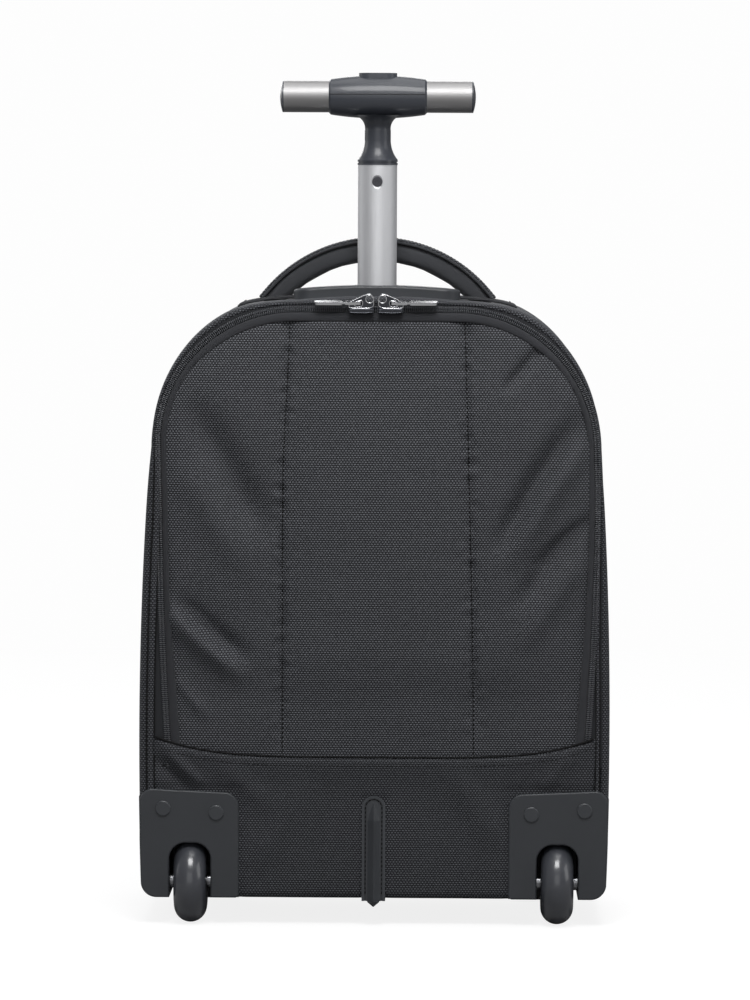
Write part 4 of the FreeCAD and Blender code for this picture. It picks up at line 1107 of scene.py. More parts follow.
def make_flap():
    """The panel that the zipper opens, with its binding, tape, coil and seams."""
    edge = inset_line(FLAP_LINE, BINDING_START + binding_width(FLAP_LINE) - BINDING_LAP)
    grid = arch_grid(edge, SHELL_STEP)
    rise = flap_relief(grid, edge)
    outer = np.minimum(FLAP_EDGE_Y - rise, REAR_Y - 0.0009)
    piece = closed_panel("flap_panel", grid, outer, REAR_Y + 0.0004, SHELL, LINING)
    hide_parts("rear_flap")
    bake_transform(piece)
    start = -BINDING_START
    width = binding_width(FLAP_LINE)
    binding = make_ribbon("flap_binding", FLAP_LINE, start, start - width, FLAP_EDGE_Y + 0.0003,
                          FLAP_EDGE_Y - 0.0008, BINDING_THICK, BINDING, None, swell=BINDING_SWELL)
    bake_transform(binding)
    tape = make_ribbon("flap_zip_tape", FLAP_LINE, start + 0.0012, start - 0.003, REAR_Y - 0.0012,
                       REAR_Y - 0.0012, TAPE_THICK, TAPE, None)
    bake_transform(tape)
    teeth = make_teeth("flap_zip_coil", FLAP_LINE, -COIL_OFFSET, REAR_Y - 0.0021, None)
    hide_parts("rear_flap_zip")
    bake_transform(teeth)
    make_flap_stitches(grid, outer)


STITCH_TOP_Z = 0.4625
STITCH_BESIDE = 0.0006


def make_flap_stitches(grid, outer):
    """Topstitching beside both long seams, laid on the face, thick and near-black so that it also paints the
    shade of the seam grooves.
    """
    flat = grid.reshape(-1, 2)
    for name, painted_shadow, inward in (("left", left_seam_x, 1), ("right", right_seam_x, -1)):
        z = np.arange(FLAP_BEND_FROM, STITCH_TOP_Z, 0.0016)
        x = painted_shadow(z) + inward * STITCH_BESIDE
        y = height_at(flat, outer, np.stack([x, z], 1))
        path = np.stack([x, y, z], 1)
        # real stitches in the painted-shadow cloth: partly painted shade of the groove
        row = stitch_line(f"flap_stitches_{name}", path, (0, -1, 0), SHADOW_CLOTH, None, pitch=0.0036,
                          radius=0.00062)
        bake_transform(row)


def height_at(flat, heights, wanted):
    """Height of a grid's surface at other places, from its nearest points."""
    found = []
    for place in wanted:
        away = np.sum((flat - place) ** 2, axis=1)
        near = np.argpartition(away, 6)[:6]
        weight = 1 / (away[near] + 1e-9)
        found.append(float((heights[near] * weight).sum() / weight.sum()))
    return np.array(found)


# ---- the lower rear panel, with its folded hem ------------------------------------------
LOWER_HALF = 0.1688
LOWER_COLUMNS, LOWER_ROWS = 190, 64
LOWER_GAIN = 2.6
LOWER_PROUD = 0.0024
LOWER_SWELL = 0.0010
HEM_PROUD = 0.0030
HEM_TURN = 0.0026
SIDE_TURN = 0.0012
GUARD_TUCK = 0.0012         # how far the panel is pressed in behind the guards
STRIP_TUCK = 0.0010         # and behind the kick strip
GUARD_INNER_X = GUARD_LOW.x
GUARD_TOP_Z = GUARD_HIGH.z
HEM_Y = REAR_Y - 0.0036
HEM_HALF = 0.1675
HEM_DROP = 0.0062           # from the fold to its stitches


def hem_z(x):
    """Height of the fold, nearly level in the middle and rising to the sides."""
    return HEM_MIDDLE_Z + HEM_RISE * np.clip(np.abs(x) / HEM_RISE_AT, 0, 1.02) ** 4.5


LOWER_CREASES = (
    (((-0.167, 0.129), (-0.155, 0.117), (-0.140, 0.104)), 0.0050, -0.0014),
    (((-0.158, 0.135), (-0.146, 0.121), (-0.130, 0.108)), 0.0045, 0.0011),
    (((-0.120, 0.124), (-0.095, 0.104), (-0.075, 0.090)), 0.0090, 0.0008),
    (((0.150, 0.134), (0.140, 0.118), (0.128, 0.106)), 0.0060, 0.0008),
    (((0.060, 0.120), (0.080, 0.090), (0.095, 0.060)), 0.0110, 0.0009),
    (((-0.055, 0.110), (-0.070, 0.075), (-0.090, 0.045)), 0.0110, 0.0009),
)


def make_lower_panel():
    """The panel below the flap, folded over at its top and tucked behind the guards and the kick strip."""
    x = np.linspace(-LOWER_HALF, LOWER_HALF, LOWER_COLUMNS)
    low = BODY_LOW + 0.0002
    grid = np.zeros((LOWER_ROWS, LOWER_COLUMNS, 2))
    for r in range(LOWER_ROWS):
        grid[r, :, 0] = x
        grid[r, :, 1] = low + (hem_z(x) - low) * (r / (LOWER_ROWS - 1))
    flat = grid.reshape(-1, 2)
    gx, gz = flat.T
    below = hem_z(gx) - gz
    side = LOWER_HALF - np.abs(gx)
    y = REAR_Y - LOWER_PROUD - LOWER_SWELL * filled(side, 0.012) * filled(gz - BODY_LOW, 0.012)
    # it stands out most along the fold, and turns in at the fold itself and at the sides
    y -= HEM_PROUD * bell(below, 0.020) * (1 - 0.5 * np.exp(-side / 0.006))
    y += HEM_TURN * bell(below, 0.0010) + SIDE_TURN * bell(side, 0.0020)
    for ends, width, height in LOWER_CREASES:
        y -= LOWER_GAIN * ridge(gx, gz, ends, width, height)
    y -= rumple(gx, 0, gz, 0.045, 6.6) * 0.0005
    # tucked behind the guards and the kick strip
    behind = smooth_step(np.abs(gx), GUARD_INNER_X - 0.006, GUARD_INNER_X)
    behind *= 1 - smooth_step(gz, GUARD_TOP_Z, GUARD_TOP_Z + 0.006)
    y += behind * GUARD_TUCK
    strip = (1 - smooth_step(np.abs(gx), 0.0085, 0.0120)) * (1 - smooth_step(gz, 0.098, 0.103))
    y += STRIP_TUCK * strip
    # the roll of the bottom edge
    y += 0.0022 * bell(gz - low, 0.0022)
    inner = np.maximum(y + 0.0014, REAR_Y - 0.0010)
    piece = closed_panel("lower_rear_panel", grid, y, inner, SHELL_SHADED, LINING)
    delete_faces(piece, lambda at: abs(at.x) > GUARD_INNER_X + 0.004 and at.z < GUARD_TOP_Z - 0.005)
    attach(piece, "case")
    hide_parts("rear_lower_panel")
    make_hem(flat, y)


def make_hem(flat, y):
    """A near-black cord along the fold, painted shadow of the gap where the flap runs down behind the hem,
    and the row of stitches below it on the panel's face.
    """
    cord_x = np.linspace(-HEM_HALF, HEM_HALF, 200)
    cord_path = at_depth(np.stack([cord_x, hem_z(cord_x) + 0.0004], 1), HEM_Y)
    # painted shadow: near-black cord along the top of the fold
    cord = sweep("hem_painted_shadow_line", cord_path, ellipse(0.0016, 0.0008, 10), (0, 0, 1), SHADOW_CLOTH, "case")
    row_x = np.linspace(0.001 - HEM_HALF, HEM_HALF - 0.001, 240)
    row_flat = np.stack([row_x, hem_z(row_x) - HEM_DROP], 1)
    row_path = at_depth(row_flat, height_at(flat, y, row_flat))
    row = stitch_line("hem_stitches", row_path, (0, -1, 0), THREAD, "case")


KICK_TOP_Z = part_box("kick_strip")[1].z
KICK_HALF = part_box("kick_strip")[1].x
KICK_GROOVE_IN = 0.0027    # from the flange's edge to the middle of its sewing groove
KICK_GROOVE_Y = REAR_Y - 0.0033


def make_kick_stitches():
    """The seam that holds the kick strip, in the groove round its flange; its stitches are near-black, so
    they also paint the shade in the groove.
    """
    half = KICK_HALF - KICK_GROOVE_IN
    arch_z = KICK_TOP_Z - KICK_HALF
    angles = np.linspace(0, math.pi, 30)
    arch = np.stack([half * np.cos(angles), arch_z + half * np.sin(angles)], 1)
    foot = BODY_LOW + 0.003
    line = np.concatenate([[[half, foot]], arch, [[-half, foot]]])
    line = resample(line, step=0.0008)
    path = at_depth(line, KICK_GROOVE_Y)
    # partly painted shade: near-black stitches fill the groove
    row = stitch_line("kick_strip_stitches", path, (0, -1, 0), SHADOW_CLOTH, "case", radius=0.00040)


def make_bottom():
    """The underside, turned up a little at the rear and up to its seam at the front."""
    half = BASE_HALF
    across = list(np.linspace(0, half - CORNER_RADIUS, 60))
    rise_x = [0.0] * len(across)
    for angle in np.linspace(0, math.pi / 2, 12)[1:]:
        across.append(half - CORNER_RADIUS + CORNER_RADIUS * math.sin(angle))
        rise_x.append(CORNER_RADIUS * (1 - math.cos(angle)))
    across = np.array([-a for a in across[:0:-1]] + across)
    rise_x = np.array(rise_x[:0:-1] + rise_x)
    bend = 0.008
    deep, rise_y = [], []
    for angle in np.linspace(math.pi / 2, 0, 8):
        deep.append(REAR_Y + 0.0030 + bend - bend * math.sin(angle))
        rise_y.append(bend * (1 - math.cos(angle)))
    for y in np.linspace(deep[-1], FRONT_Y - bend, 64)[1:]:
        deep.append(y)
        rise_y.append(0.0)
    for angle in np.linspace(0, math.pi / 2, 8)[1:]:
        deep.append(FRONT_Y - bend + bend * math.sin(angle))
        rise_y.append(bend * (1 - math.cos(angle)))
    for z in np.linspace(bend, BOTTOM_HIGH.z - BODY_LOW, 16)[1:]:
        deep.append(FRONT_Y)
        rise_y.append(z)
    verts = []
    for y, up in zip(deep, rise_y):
        for x, lift in zip(across, rise_x):
            verts.append((x, y, BODY_LOW + max(up, lift) if up < CORNER_RADIUS else BODY_LOW + up))
    piece = make_piece("bottom_skin", verts, grid_faces(len(deep), len(across)), SHELL_SHADED, None)
    delete_faces(piece, lambda at: abs(at.x) > GUARD_INNER_X + 0.001 and at.y < GUARD_HIGH.y - 0.001)
    outward_from_centre(piece)
    line_inside(piece, 0.0018, LINING)
    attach(piece, "case")
    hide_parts("bottom_panel")


# ---- cloth simulation --------------------------------------------------------------------
CLOTH_SETTINGS = {"quality": 6, "mass": 0.25, "tension_stiffness": 30, "compression_stiffness": 30,
                  "shear_stiffness": 12, "bending_stiffness": 1.2, "use_pressure": True,
                  "uniform_pressure_force": 4.0, "shrink_min": -0.02}
CLOTH_FRAMES = 20


def simulate_swelling(piece, voxel, cap):
    """Fills a soft closed piece with air under cloth; its points move at most cap from where they start."""
    scene = bpy.context.scene
    remesh = piece.modifiers.new("even", "REMESH")
    remesh.mode = "VOXEL"
    remesh.voxel_size = voxel
    remesh.use_smooth_shade = True
    apply_modifiers(piece)
    start = np.array([v.co for v in piece.data.vertices])
    cloth = piece.modifiers.new("cloth", "CLOTH")
    for name, value in CLOTH_SETTINGS.items():
        setattr(cloth.settings, name, value)
    cloth.settings.effector_weights.gravity = 0
    cloth.collision_settings.use_collision = False
    cloth.point_cache.frame_start = 1
    cloth.point_cache.frame_end = CLOTH_FRAMES
    for number in range(1, CLOTH_FRAMES + 1):
        scene.frame_set(number)
    apply_modifiers(piece)
    moved = np.array([v.co for v in piece.data.vertices]) - start
    length = np.linalg.norm(moved, axis=1)
    share = np.where(length > cap, cap / np.maximum(length, 1e-9), 1.0)
    end = start + moved * share[:, None]
    piece.data.vertices.foreach_set("co", end.astype(np.float32).ravel())
    scene.frame_set(1)
    finer = piece.modifiers.new("finer", "SUBSURF")
    finer.levels = 1
    finer.render_levels = 1
    apply_modifiers(piece)
    piece.data.polygons.foreach_set("use_smooth", [True] * len(piece.data.polygons))


# ---- carry handle ----------------------------------------------------------------------
HANDLE_Y = (HANDLE_LOW.y + HANDLE_HIGH.y) / 2
HANDLE_WIDTH = HANDLE_HIGH.y - HANDLE_LOW.y
HANDLE_FOOT = 0.0790
HANDLE_FOOT_Z = 0.4772
HANDLE_TAIL = 0.0065        # how far the ends run on under their tabs
HANDLE_THICK = 0.0175
STRIP_THICK = 0.0030
HANDLE_PAD_SHAPE = 0.55     # squareness of the pad's cross-section
HANDLE_VOXEL = 0.0032
HANDLE_SWELL = 0.0016


def handle_arc(lift):
    """The handle's arch in X and Z, lifted outwards from its middle line."""
    top = HANDLE_HIGH.z - STRIP_THICK - HANDLE_THICK / 2
    line = arc_through((-HANDLE_FOOT, HANDLE_FOOT_Z), (0, top), (HANDLE_FOOT, HANDLE_FOOT_Z), 90)
    root = HANDLE_TAIL * (line[0] - line[1]) / np.linalg.norm(line[0] - line[1])
    steps = np.linspace(1, 0.2, 5)[:, None]
    right = root * np.array([-1, 1])
    line = np.concatenate([line[0] + steps * root, line, line[-1] + steps[::-1] * right])
    return line + side_normals(line) * lift


def handle_path(lift, y):
    """The lifted arch in space, at one depth."""
    return at_depth(handle_arc(lift), y)


def bend_with_handle(piece):
    """Bakes the piece's place into its mesh."""
    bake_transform(piece)


def make_carry_handle():
    """Padded grip with a strip of webbing on its back, piped and stitched along both edges."""
    middle = handle_arc(0)
    path = handle_path(0, HANDLE_Y)
    # the profile's side axis lies along Y, its up axis points out of the arch
    up = at_depth(side_normals(middle), 0.0)
    ends = np.abs(middle[:, 0]) / HANDLE_FOOT
    size = 1 - 0.06 * smooth_step(ends, 0.8, 1.0)
    pad_shape = ellipse(HANDLE_WIDTH / 2 - 0.0015, HANDLE_THICK / 2 - 0.001, 28, HANDLE_PAD_SHAPE)
    pad = sweep("carry_handle_pad", path, pad_shape, up, PAD_CLOTH, None, scales=size)
    simulate_swelling(pad, HANDLE_VOXEL, HANDLE_SWELL)
    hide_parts("carry_handle")
    bend_with_handle(pad)
    lift = HANDLE_THICK / 2 + STRIP_THICK / 2 - 0.0006
    strip_shape = ellipse(HANDLE_WIDTH / 2 - 0.0004, STRIP_THICK / 2, 24, 0.45)
    strip = sweep("carry_handle_strip", handle_path(lift, HANDLE_Y), strip_shape, up, GUSSET_CLOTH, None)
    bend_with_handle(strip)
    for name, way in (("rear", -1), ("front", 1)):
        edge_y = HANDLE_Y + way * HANDLE_WIDTH / 2
        path = handle_path(HANDLE_THICK / 2 - 0.0003, edge_y - way * 0.0012)
        cord = sweep(f"carry_handle_piping_{name}", path, disc(0.0012, 10), up, PAD_CLOTH, None)
        bend_with_handle(cord)
        beside = handle_path(HANDLE_THICK / 2 + 0.0012, edge_y - way * 0.0006)
        above = handle_path(lift + STRIP_THICK / 2 - 0.0001, edge_y - way * 0.004)
        for row_name, path, normal, thread in (("stitches", beside, (0, way, 0), PIPING),
                                               ("top_stitches", above, (0, 0, 1), THREAD)):
            row = stitch_line(f"carry_handle_{row_name}_{name}", path, normal, thread, None, pitch=0.003,
                              radius=0.0003)
            bend_with_handle(row)


def crown_stretch(x_from, x_to):
    """The part of the case's outline over the crown, between two places across it."""
    x, z = CASE_LINE.T
    return CASE_LINE[(x > x_from) & (x < x_to) & (z > SHOULDER_Z)]


def crown_patch(name, x_from, x_to, y_from, y_to, lift, thickness, material, body):
    """A piece of webbing sewn down on the crown, with soft edges."""
    line = resample(crown_stretch(x_from, x_to), step=0.0012)
    normal = side_normals(line)
    columns = 22
    count = len(line)
    verts = []
    for layer in (1, 0):
        for i in range(count):
            along = min(i, count - 1 - i) / 3.0
            for k in range(columns):
                t = k / (columns - 1)
                edge = min(along, min(k, columns - 1 - k) / 1.5, 1.0)
                height = lift + layer * thickness * (0.45 + 0.55 * math.sin(edge * math.pi / 2))
                flat = line[i] + normal[i] * height
                verts.append((flat[0], y_from + (y_to - y_from) * t, flat[1]))
    total = count * columns
    faces = grid_faces(count, columns)
    faces += grid_faces(count, columns, flip=True, start=total)
    faces += rim_faces(count, columns)
    return outward(make_piece(name, verts, faces, material, body))


ANCHOR_INNER_X = 0.0560
ANCHOR_OUTER_X = 0.1085
BAR_TACK_X = 0.103


def make_handle_anchors():
    """The two sewn tabs that hold the handle's feet, each with a bar tack."""
    for side, name in ((-1, "left"), (1, "right")):
        x_from, x_to = sorted((side * ANCHOR_INNER_X, side * ANCHOR_OUTER_X))
        tab = crown_patch(f"handle_anchor_{name}", x_from, x_to, HANDLE_LOW.y - 0.002, HANDLE_HIGH.y + 0.002,
                          -0.0004, 0.0026, WEBBING, "case")
        line = crown_stretch(side * BAR_TACK_X - 0.004, side * BAR_TACK_X + 0.004)
        middle = line[len(line) // 2]
        normal = side_normals(line)[len(line) // 2]
        spot = middle + normal * 0.0024
        bar = np.array([[spot[0], y, spot[1]] for y in np.linspace(HANDLE_LOW.y, HANDLE_HIGH.y, 12)])
        up = (normal[0], 0, normal[1])
        row = stitch_line(f"anchor_bar_tack_{name}", bar, up, THREAD, "case", pitch=0.0016, share=0.9,
                          radius=0.0005)
    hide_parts("handle_anchors")


# ---- bright edges of the rear sliders --------------------------------------------------
# outlines in X and Z in millimetres, from the middle of the case and the slider's own foot
SLIDER_TILT = math.radians(12)
SLIDER_PLACE = Vector((0, REAR_Y - 0.0054, 0.4694))
BRIDGE_CORNERS = ((1.8, 3.2), (1.8, 11.5), (5.0, 14.8), (19.0, 8.9), (20.5, 6.2), (20.5, 3.2))
PULL_EYE_CORNERS = ((10.2, 4.6), (16.4, 4.6), (16.4, 8.4), (10.2, 9.6))
BASE_CORNERS = ((1.6, 0.2), (20.5, 0.2), (20.5, 3.0), (1.6, 3.0))
LOCK_EYE = (4.9, 10.3)
LOCK_EYE_RADIUS = 3.0


def eased(corners):
    """A closed outline with its corners cut again and again until they are round."""
    line = np.array(corners, float)
    for _ in range(3):
        after = np.roll(line, -1, axis=0)
        line = np.stack([0.8 * line + 0.2 * after, 0.2 * line + 0.8 * after], 1).reshape(-1, 2)
    return line


def make_slider_rims(side, body):
    """The bright edges of one rear slider: its bridge, its two eyes and its base."""
    angles = np.linspace(0, 2 * math.pi, 28, endpoint=False)
    eye = np.array(LOCK_EYE) + LOCK_EYE_RADIUS * np.stack([np.cos(angles), np.sin(angles)], 1)
    rims = (("bridge", eased(BRIDGE_CORNERS), 1.6, 0.42, ZIP_METAL), ("lock_eye", eye, 1.6, 0.45, ZIP_METAL),
            ("pull_eye", eased(PULL_EYE_CORNERS), 1.6, 0.40, ZIP_METAL),
            ("base", eased(BASE_CORNERS), 3.6, 0.24, ZIP_DARK))
    for name, line, front, radius, metal in rims:
        y = -front * MM
        x, z = side * line[:, 0] * MM, line[:, 1] * MM
        lean_y = y * math.cos(SLIDER_TILT) - z * math.sin(SLIDER_TILT)
        lean_z = y * math.sin(SLIDER_TILT) + z * math.cos(SLIDER_TILT)
        path = np.stack([x, SLIDER_PLACE.y + lean_y, SLIDER_PLACE.z + lean_z], 1)
        rim = sweep(f"{body}_{name}_rim", path, disc(radius * MM), (0, -1, 0), metal, body, closed=True)


GRIP_SEAM_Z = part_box("grip_cover")[0].z
TROLLEY_Y = -0.053


def make_grip_seam():
    """Near-black cords along the parting line between the two halves of the grip, laid on its surface:
    painted shadow of the joint.
    """
    tree = surface_of("grip_body")
    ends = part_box("grip_body")[1].x - 0.0006
    for name, way in (("rear", 1), ("front", -1)):
        path = []
        for x in np.linspace(-ends, ends, 60):
            outside = Vector((x, TROLLEY_Y - way * 0.2, GRIP_SEAM_Z - 0.0002))
            hit = tree.ray_cast(outside, Vector((0, way, 0)))[0]
            path.append((x, hit.y, GRIP_SEAM_Z + 0.00012 * math.sin(x * 900) * math.sin(x * 210)))
        line = sweep(f"grip_seam_{name}", path, disc(0.00030), (0, 0, 1), SHADOW_PLASTIC, "handle_stage")


COIL_WIRE = 0.00045
COIL_TURNS = 6.5


def make_button_coil():
    """The spring round the push rod, built at one length."""
    low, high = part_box("button_spring")
    radius = (high.x - low.x) / 2 - COIL_WIRE
    middle_y = (low.y + high.y) / 2
    turn = np.linspace(0, 2 * math.pi * COIL_TURNS, 200)
    rise = np.linspace(low.z + COIL_WIRE, high.z - COIL_WIRE, len(turn))
    path = np.stack([radius * np.cos(turn), middle_y + radius * np.sin(turn), rise], 1)
    coil = sweep("button_coil", path, disc(COIL_WIRE), (0, 0, 1), STEEL, "handle_stage")
    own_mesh(coil)
    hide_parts("button_spring")


def surface_of(name):
    """A CAD piece's surface, for rays."""
    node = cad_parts[name]
    shape = bmesh.new()
    shape.from_mesh(node.data)
    shape.transform(node.matrix_world)
    tree = BVHTree.FromBMesh(shape)
    shape.free()
    return tree


# ---- the front: lid and pocket ---------------------------------------------------------
LID_LINE = front_zip_line()
LID_EDGE_Y = FRONT_Y + 0.0026
LID_BINDING = 0.0052
LID_ROUND = 0.0016
LID_SWELL = 0.0045
PANEL_STEP = 0.0030         # spacing of the points on the lid and the pocket
LID_TOOTH_PITCH = 0.0017
POCKET_TOOTH_PITCH = 0.0018


def make_front():
    """The far side's piping, zipper and lid."""
    make_edge_piping("front_piping", FRONT_WAY, FRONT_ROLL, FRONT_Y + 0.0004, SPLIT_Z + 0.002, "case")
    keep = FRONT_LINE[:, 1] > FRONT_HINGE_Z - 0.004
    gap = (FRONT_GAP - FRONT_ROLL)[keep]
    tape = make_ribbon("front_zip_tape", FRONT_LINE[keep], 0.0012, gap + 0.0016, FRONT_Y + 0.0012,
                       FRONT_Y + 0.0006, TAPE_THICK, TAPE, "case", out=1.0)
    y = FRONT_Y + 0.0021
    make_teeth("front_zip_coil", LID_LINE, COIL_OFFSET, y, "case", out=1.0, pitch=LID_TOOTH_PITCH)
    teeth = make_teeth("lid_zip_coil", LID_LINE, -COIL_OFFSET, y, "lid", out=1.0, pitch=LID_TOOTH_PITCH)
    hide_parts("lid_zip")
    start = -BINDING_START
    binding = make_ribbon("lid_binding", LID_LINE, start, start - LID_BINDING, LID_EDGE_Y - 0.0003,
                          LID_EDGE_Y + 0.0006, BINDING_THICK, BINDING, "lid", out=1.0, swell=BINDING_SWELL)
    make_lid_skin()


def make_lid_skin():
    """The lid's face, swelling beyond its edge except where the pocket sits."""
    edge = inset_line(LID_LINE, BINDING_START + LID_BINDING - BINDING_LAP)
    grid = arch_grid(edge, PANEL_STEP)
    flat = grid.reshape(-1, 2)
    x, z = flat.T
    away = distance_to(flat, edge)
    rise = LID_ROUND * filled(away, 0.0045) + LID_SWELL * filled(away, 0.035, 1.3)
    # flat under the pocket
    pocket = np.maximum(np.abs(x) - POCKET_HIGH.x, np.maximum(z - POCKET_HIGH.z, POCKET_LOW.z - z))
    rise *= smooth_step(pocket, -0.004, 0.020)
    soft = smooth_step(away, 0.0, 0.02) * smooth_step(pocket, 0.0, 0.02)
    rise += soft * (rumple(x, 1, z, 0.055, 1.4) * 0.0013 + rumple(x, 1, z, 0.024, 5.1) * 0.0004)
    outer = np.maximum(LID_EDGE_Y + rise, FRONT_Y + 0.0012)
    panel = closed_panel("lid_skin", grid, outer, FRONT_Y - 0.0003, SHELL, LINING)
    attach(panel, "lid")
    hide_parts("lid_panel")


def box_grid(line, step):
    """Coons grid inside a rounded box line, with its corners half way round the bends."""
    per_turn = len(line) // 4
    middles = [turn * per_turn + per_turn // 2 for turn in range(4)]
    middles.append(middles[0] + len(line))
    loop = np.concatenate([line, line])
    top, left, bottom, right = (loop[a:b + 1] for a, b in zip(middles[:-1], middles[1:]))
    top, left = top[::-1], left[::-1]
    rows = int((line[:, 1].max() - line[:, 1].min()) / step)
    columns = int((line[:, 0].max() - line[:, 0].min()) / step)
    sides = [resample(side, rows) for side in (left, right)]
    levels = [resample(level, columns) for level in (bottom, top)]
    return coons(*sides, *levels)


def loop_piece(name, line, section, material, body):
    """A closed band: section is (outward offset, Y) points, carried round a closed line."""
    even = resample(line, step=PANEL_STEP, closed=True)[:-1]
    tangent = np.roll(even, -1, 0) - np.roll(even, 1, 0)
    tangent /= np.linalg.norm(tangent, axis=1)[:, None]
    normal = np.stack([tangent[:, 1], -tangent[:, 0]], 1)
    verts = [at_depth(even + normal * offset, y) for offset, y in section]
    count = len(even)
    rows = len(section)
    faces = grid_faces(rows, count, wrap=True)
    faces += closing_faces(rows, count)
    return outward(make_piece(name, np.concatenate(verts), faces, material, body))


POCKET_CORNER = 0.018
POCKET_ROUND = 0.0012
POCKET_SWELL = 0.0046
POCKET_SEAM_Z = 0.150
POCKET_SEAM_HALF = 0.128
POCKET_HINGE_Z = POCKET_LOW.z + 0.012


def pocket_line(grow):
    """The pocket's outline, let out by some width all round."""
    low, high = POCKET_LOW.z - grow, POCKET_HIGH.z + grow
    return rounded_box_line(POCKET_HIGH.x + grow, low, high, POCKET_CORNER + grow)


def make_pocket():
    """The pocket's band, piping and zipper on the lid."""
    low_y, high_y = RING_LOW.y, RING_HIGH.y
    # the band's section, from its root over its hollow side to the zipper's lap and back inside
    section = [(0.0012, low_y + 0.0002), (0.0016, low_y + 0.0035)]
    for t in (0.3, 0.5, 0.7):
        section.append((0.0010 - 0.0014 * math.sin(math.pi * t), low_y + (high_y - low_y) * t))
    section += [(0.0006, high_y - 0.0026), (-0.0010, high_y - 0.0006), (-0.0040, high_y - 0.0002)]
    section += [(-0.0060, high_y - 0.0004), (-0.0060, high_y - 0.0020), (-0.0022, high_y - 0.0028)]
    section += [(-0.0022, low_y + 0.0002)]
    ring = loop_piece("pocket_gusset", pocket_line(0.0), section, GUSSET_CLOTH, "lid")
    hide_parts("pocket_ring")
    for name, grow, y in (("root", 0.0022, low_y + 0.0012), ("edge", -0.0002, high_y + 0.0002)):
        line = resample(pocket_line(grow), step=PANEL_STEP, closed=True)[:-1]
        profile = disc(0.0013, 10)
        path = at_depth(line, y)
        cord = sweep(f"pocket_piping_{name}", path, profile, ALONG_Y, PIPING, "lid", closed=True)
    painted_shadow = resample(pocket_line(-0.0054), step=0.0005, closed=True)[:-1]
    upper = np.roll(painted_shadow, -int(np.argmin(painted_shadow[:, 1])), axis=0)
    upper = upper[upper[:, 1] > POCKET_HINGE_Z]
    for name, offset, body in (("ring", -COIL_OFFSET, "lid"), ("panel", COIL_OFFSET, "pocket")):
        make_teeth(f"pocket_zip_coil_{name}", upper, offset, high_y + 0.0006, body, out=1.0,
                   pitch=POCKET_TOOTH_PITCH)
    make_pocket_skin()


def make_pocket_skin():
    """The pocket's face, with one seam across it between two rows of stitches."""
    edge = pocket_line(-0.0072)
    grid = box_grid(edge, PANEL_STEP)
    flat = grid.reshape(-1, 2)
    x, z = flat.T
    closed_edge = np.concatenate([edge, edge[:1]])
    away = distance_to(flat, closed_edge)
    rise = POCKET_ROUND * filled(away, 0.0040) + POCKET_SWELL * filled(away, 0.040, 1.4)
    rise += smooth_step(away, 0, 0.02) * rumple(x, 2, z, 0.050, 8.8) * 0.0010
    rise -= 0.0014 * bell(z - POCKET_SEAM_Z, 0.0024) * smooth_step(away, 0, 0.006)
    outer = POCKET_LOW.y + 0.0009 + rise
    panel = closed_panel("pocket_skin", grid, outer, POCKET_LOW.y - 0.0006, SHELL, LINING)
    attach(panel, "pocket")
    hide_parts("pocket_panel")
    seam_x = np.linspace(-POCKET_SEAM_HALF, POCKET_SEAM_HALF, 160)
    for name, lift in (("upper", 0.0026), ("lower", -0.0026)):
        line = np.stack([seam_x, np.full(len(seam_x), POCKET_SEAM_Z + lift)], 1)
        path = at_depth(line, height_at(flat, outer, line))
        row = stitch_line(f"pocket_stitches_{name}", path, ALONG_Y, THREAD, "pocket")


# ---- inside ----------------------------------------------------------------------------
PAD_STEP = 0.0042
PAD_CORNER = 0.012


def pad_slab(name, edge, grid, back_y, face_y, crown, channels, material, lining, centre=0.0):
    """Padded panel with sewn channels: (x or None, z or None) lines pressed into its face."""
    out = math.copysign(1.0, face_y - back_y)
    flat = grid.reshape(-1, 2)
    x, z = flat.T
    away = distance_to(flat, np.concatenate([edge, edge[:1]]))
    press = np.ones(len(x))
    for at_x, at_z in channels:
        gap = np.abs(np.abs(x) - at_x) if at_x is not None else np.abs(z - at_z)
        press = np.minimum(press, 1 - 0.8 * bell(gap, 0.0055))
    rise = crown * filled(away, 0.012, 1.2) * press
    rise += rumple(x, 3, z, 0.035, 2.9) * 0.0004 * smooth_step(away, 0, 0.01)
    outer = face_y - out * crown + out * rise
    panel = closed_panel(name, grid, outer, back_y, material, lining)
    if centre:
        panel.data.transform(Matrix.Translation((centre, 0, 0)))
    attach(panel, "case")
    return panel


def box_slab(name, half, low_z, high_z, *rest, **settings):
    """The same with the outline of a box with round corners."""
    edge = rounded_box_line(half, low_z, high_z, PAD_CORNER)
    return pad_slab(name, edge, box_grid(edge, PAD_STEP), *rest, **settings)


def make_inside():
    """The back pad and laptop pad, then the divider and the straps."""
    edge = case_line(inset=0.0125, low=BACK_LOW.z)
    edge[:, 1] = np.minimum(edge[:, 1], BACK_HIGH.z + 0.006)
    channels = ((0.014, None), (0.092, None), (None, 0.200), (None, 0.330))
    grid = arch_grid(edge, PAD_STEP)
    back = pad_slab("back_padding", edge, grid, BACK_HIGH.y, BACK_LOW.y - 0.0004, 0.0034, channels, AIR_MESH,
                    LINING)
    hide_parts("back_pad")
    channels = ((0.054, None), (None, 0.12), (None, 0.22))
    sleeve = box_slab("laptop_sleeve_pad", SLEEVE_HIGH.x, SLEEVE_LOW.z, SLEEVE_HIGH.z, SLEEVE_LOW.y,
                      SLEEVE_HIGH.y + 0.0004, 0.0030, channels, PAD_CLOTH, LINING)
    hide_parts("laptop_pad")
    make_divider()
    make_straps()


DIVIDER_THICK = 0.0012
DIVIDER_GAP = 0.0035        # from the case's outline to the sheet's edge


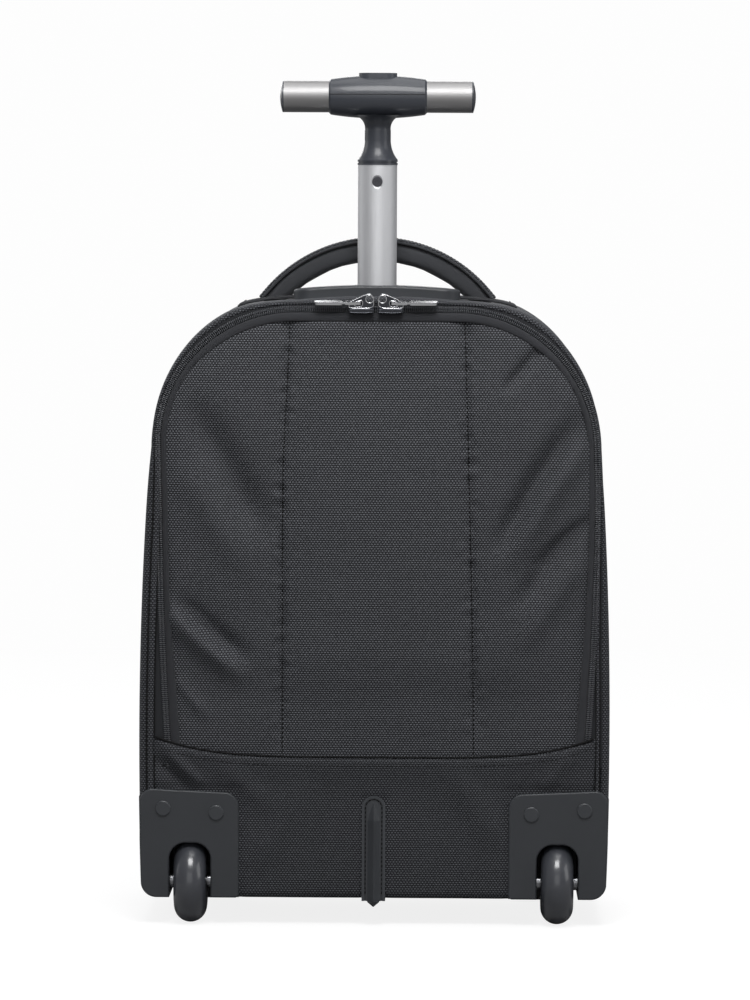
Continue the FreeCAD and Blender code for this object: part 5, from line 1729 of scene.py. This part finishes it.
def make_divider():
    """A single sheet of lining across the case, stretched between the gussets."""
    line = case_line(inset=DIVIDER_GAP, low=DIVIDER_LOW.z + 0.001)
    grid = arch_grid(line, 0.0060)
    flat = grid.reshape(-1, 2)
    x, z = flat.T
    y = (DIVIDER_LOW.y + DIVIDER_HIGH.y) / 2 + rumple(x, 4, z, 0.07, 3.3) * 0.0012
    sheet = make_piece("divider_sheet", at_depth(flat, y), grid_faces(*grid.shape[:2]), LINING, None)
    modifier = sheet.modifiers.new("thickness", "SOLIDIFY")
    modifier.thickness = DIVIDER_THICK
    modifier.offset = 0
    modifier.use_even_offset = False
    apply_modifiers(sheet)
    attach(sheet, "case")
    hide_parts("inner_divider")


STRAP_INNER_X = 0.028
WEBBING_X = 0.056
WEBBING_HALF = 0.0125
WEBBING_Y = -0.0832
WEBBING_Z = (0.152, 0.232)


def make_straps():
    """Two padded shoulder straps folded flat against the back pad, with their webbing."""
    half = (STRAP_HIGH.x - STRAP_INNER_X) / 2
    for side, name in ((-1, "left"), (1, "right")):
        centre = side * (STRAP_INNER_X + half)
        strap = box_slab(f"strap_pad_{name}", half - 0.001, STRAP_LOW.z, STRAP_HIGH.z, STRAP_HIGH.y - 0.0002,
                         STRAP_LOW.y + 0.0006, 0.0055, ((0.0, None),), PAD_CLOTH, AIR_MESH, centre=centre)
        edge = rounded_box_line(half - 0.0012, STRAP_LOW.z + 0.0004, STRAP_HIGH.z - 0.0004, PAD_CORNER)
        line = resample(edge, step=0.0026, closed=True)[:-1] + (centre, 0)
        path = at_depth(line, (STRAP_LOW.y + STRAP_HIGH.y) / 2 + 0.0018)
        profile = ellipse(0.0013, 0.0030, 12, 0.7)
        bound = sweep(f"strap_binding_{name}", path, profile, ALONG_Y, BINDING, "case", closed=True)
        z = np.linspace(*WEBBING_Z, 60)
        path = np.stack([np.full(len(z), side * WEBBING_X), WEBBING_Y - 0.0004 * np.sin(z * 140), z], 1)
        profile = ellipse(WEBBING_HALF, 0.0008, 20, 0.4)
        web = sweep(f"strap_webbing_{name}", path, profile, ALONG_Y, WEBBING, "case")
        if side < 0:
            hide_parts("strap_webbing")
    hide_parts("shoulder_straps")


# ---- put together ----------------------------------------------------------------------
def make_rear():
    """The gusset, with the piping and the case's half of the flap's zipper."""
    make_gusset()
    make_edge_piping("rear_piping", REAR_WAY, ROLL, REAR_Y - 0.0009, 0.046, "case")
    gap = distance_to(FLAP_LINE, CASE_LINE)
    tape = make_ribbon("case_zip_tape", FLAP_LINE, -0.0010, gap - 0.5 * ROLL_WIDTH,
                       REAR_Y - 0.0012, REAR_Y - 0.0002, TAPE_THICK, TAPE, "case")
    teeth = make_teeth("case_zip_coil", FLAP_LINE, COIL_OFFSET, REAR_Y - 0.0021, "case")
    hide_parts("case_zip_tapes")


dress_cad_parts()
make_rear()
make_flap()
make_lower_panel()
make_bottom()
make_carry_handle()
make_handle_anchors()
make_kick_stitches()
make_slider_rims(-1, "slider_left")
make_slider_rims(1, "slider_right")
make_grip_seam()
make_button_coil()
make_front()
make_pocket()
make_inside()
set_camera()
set_studio()
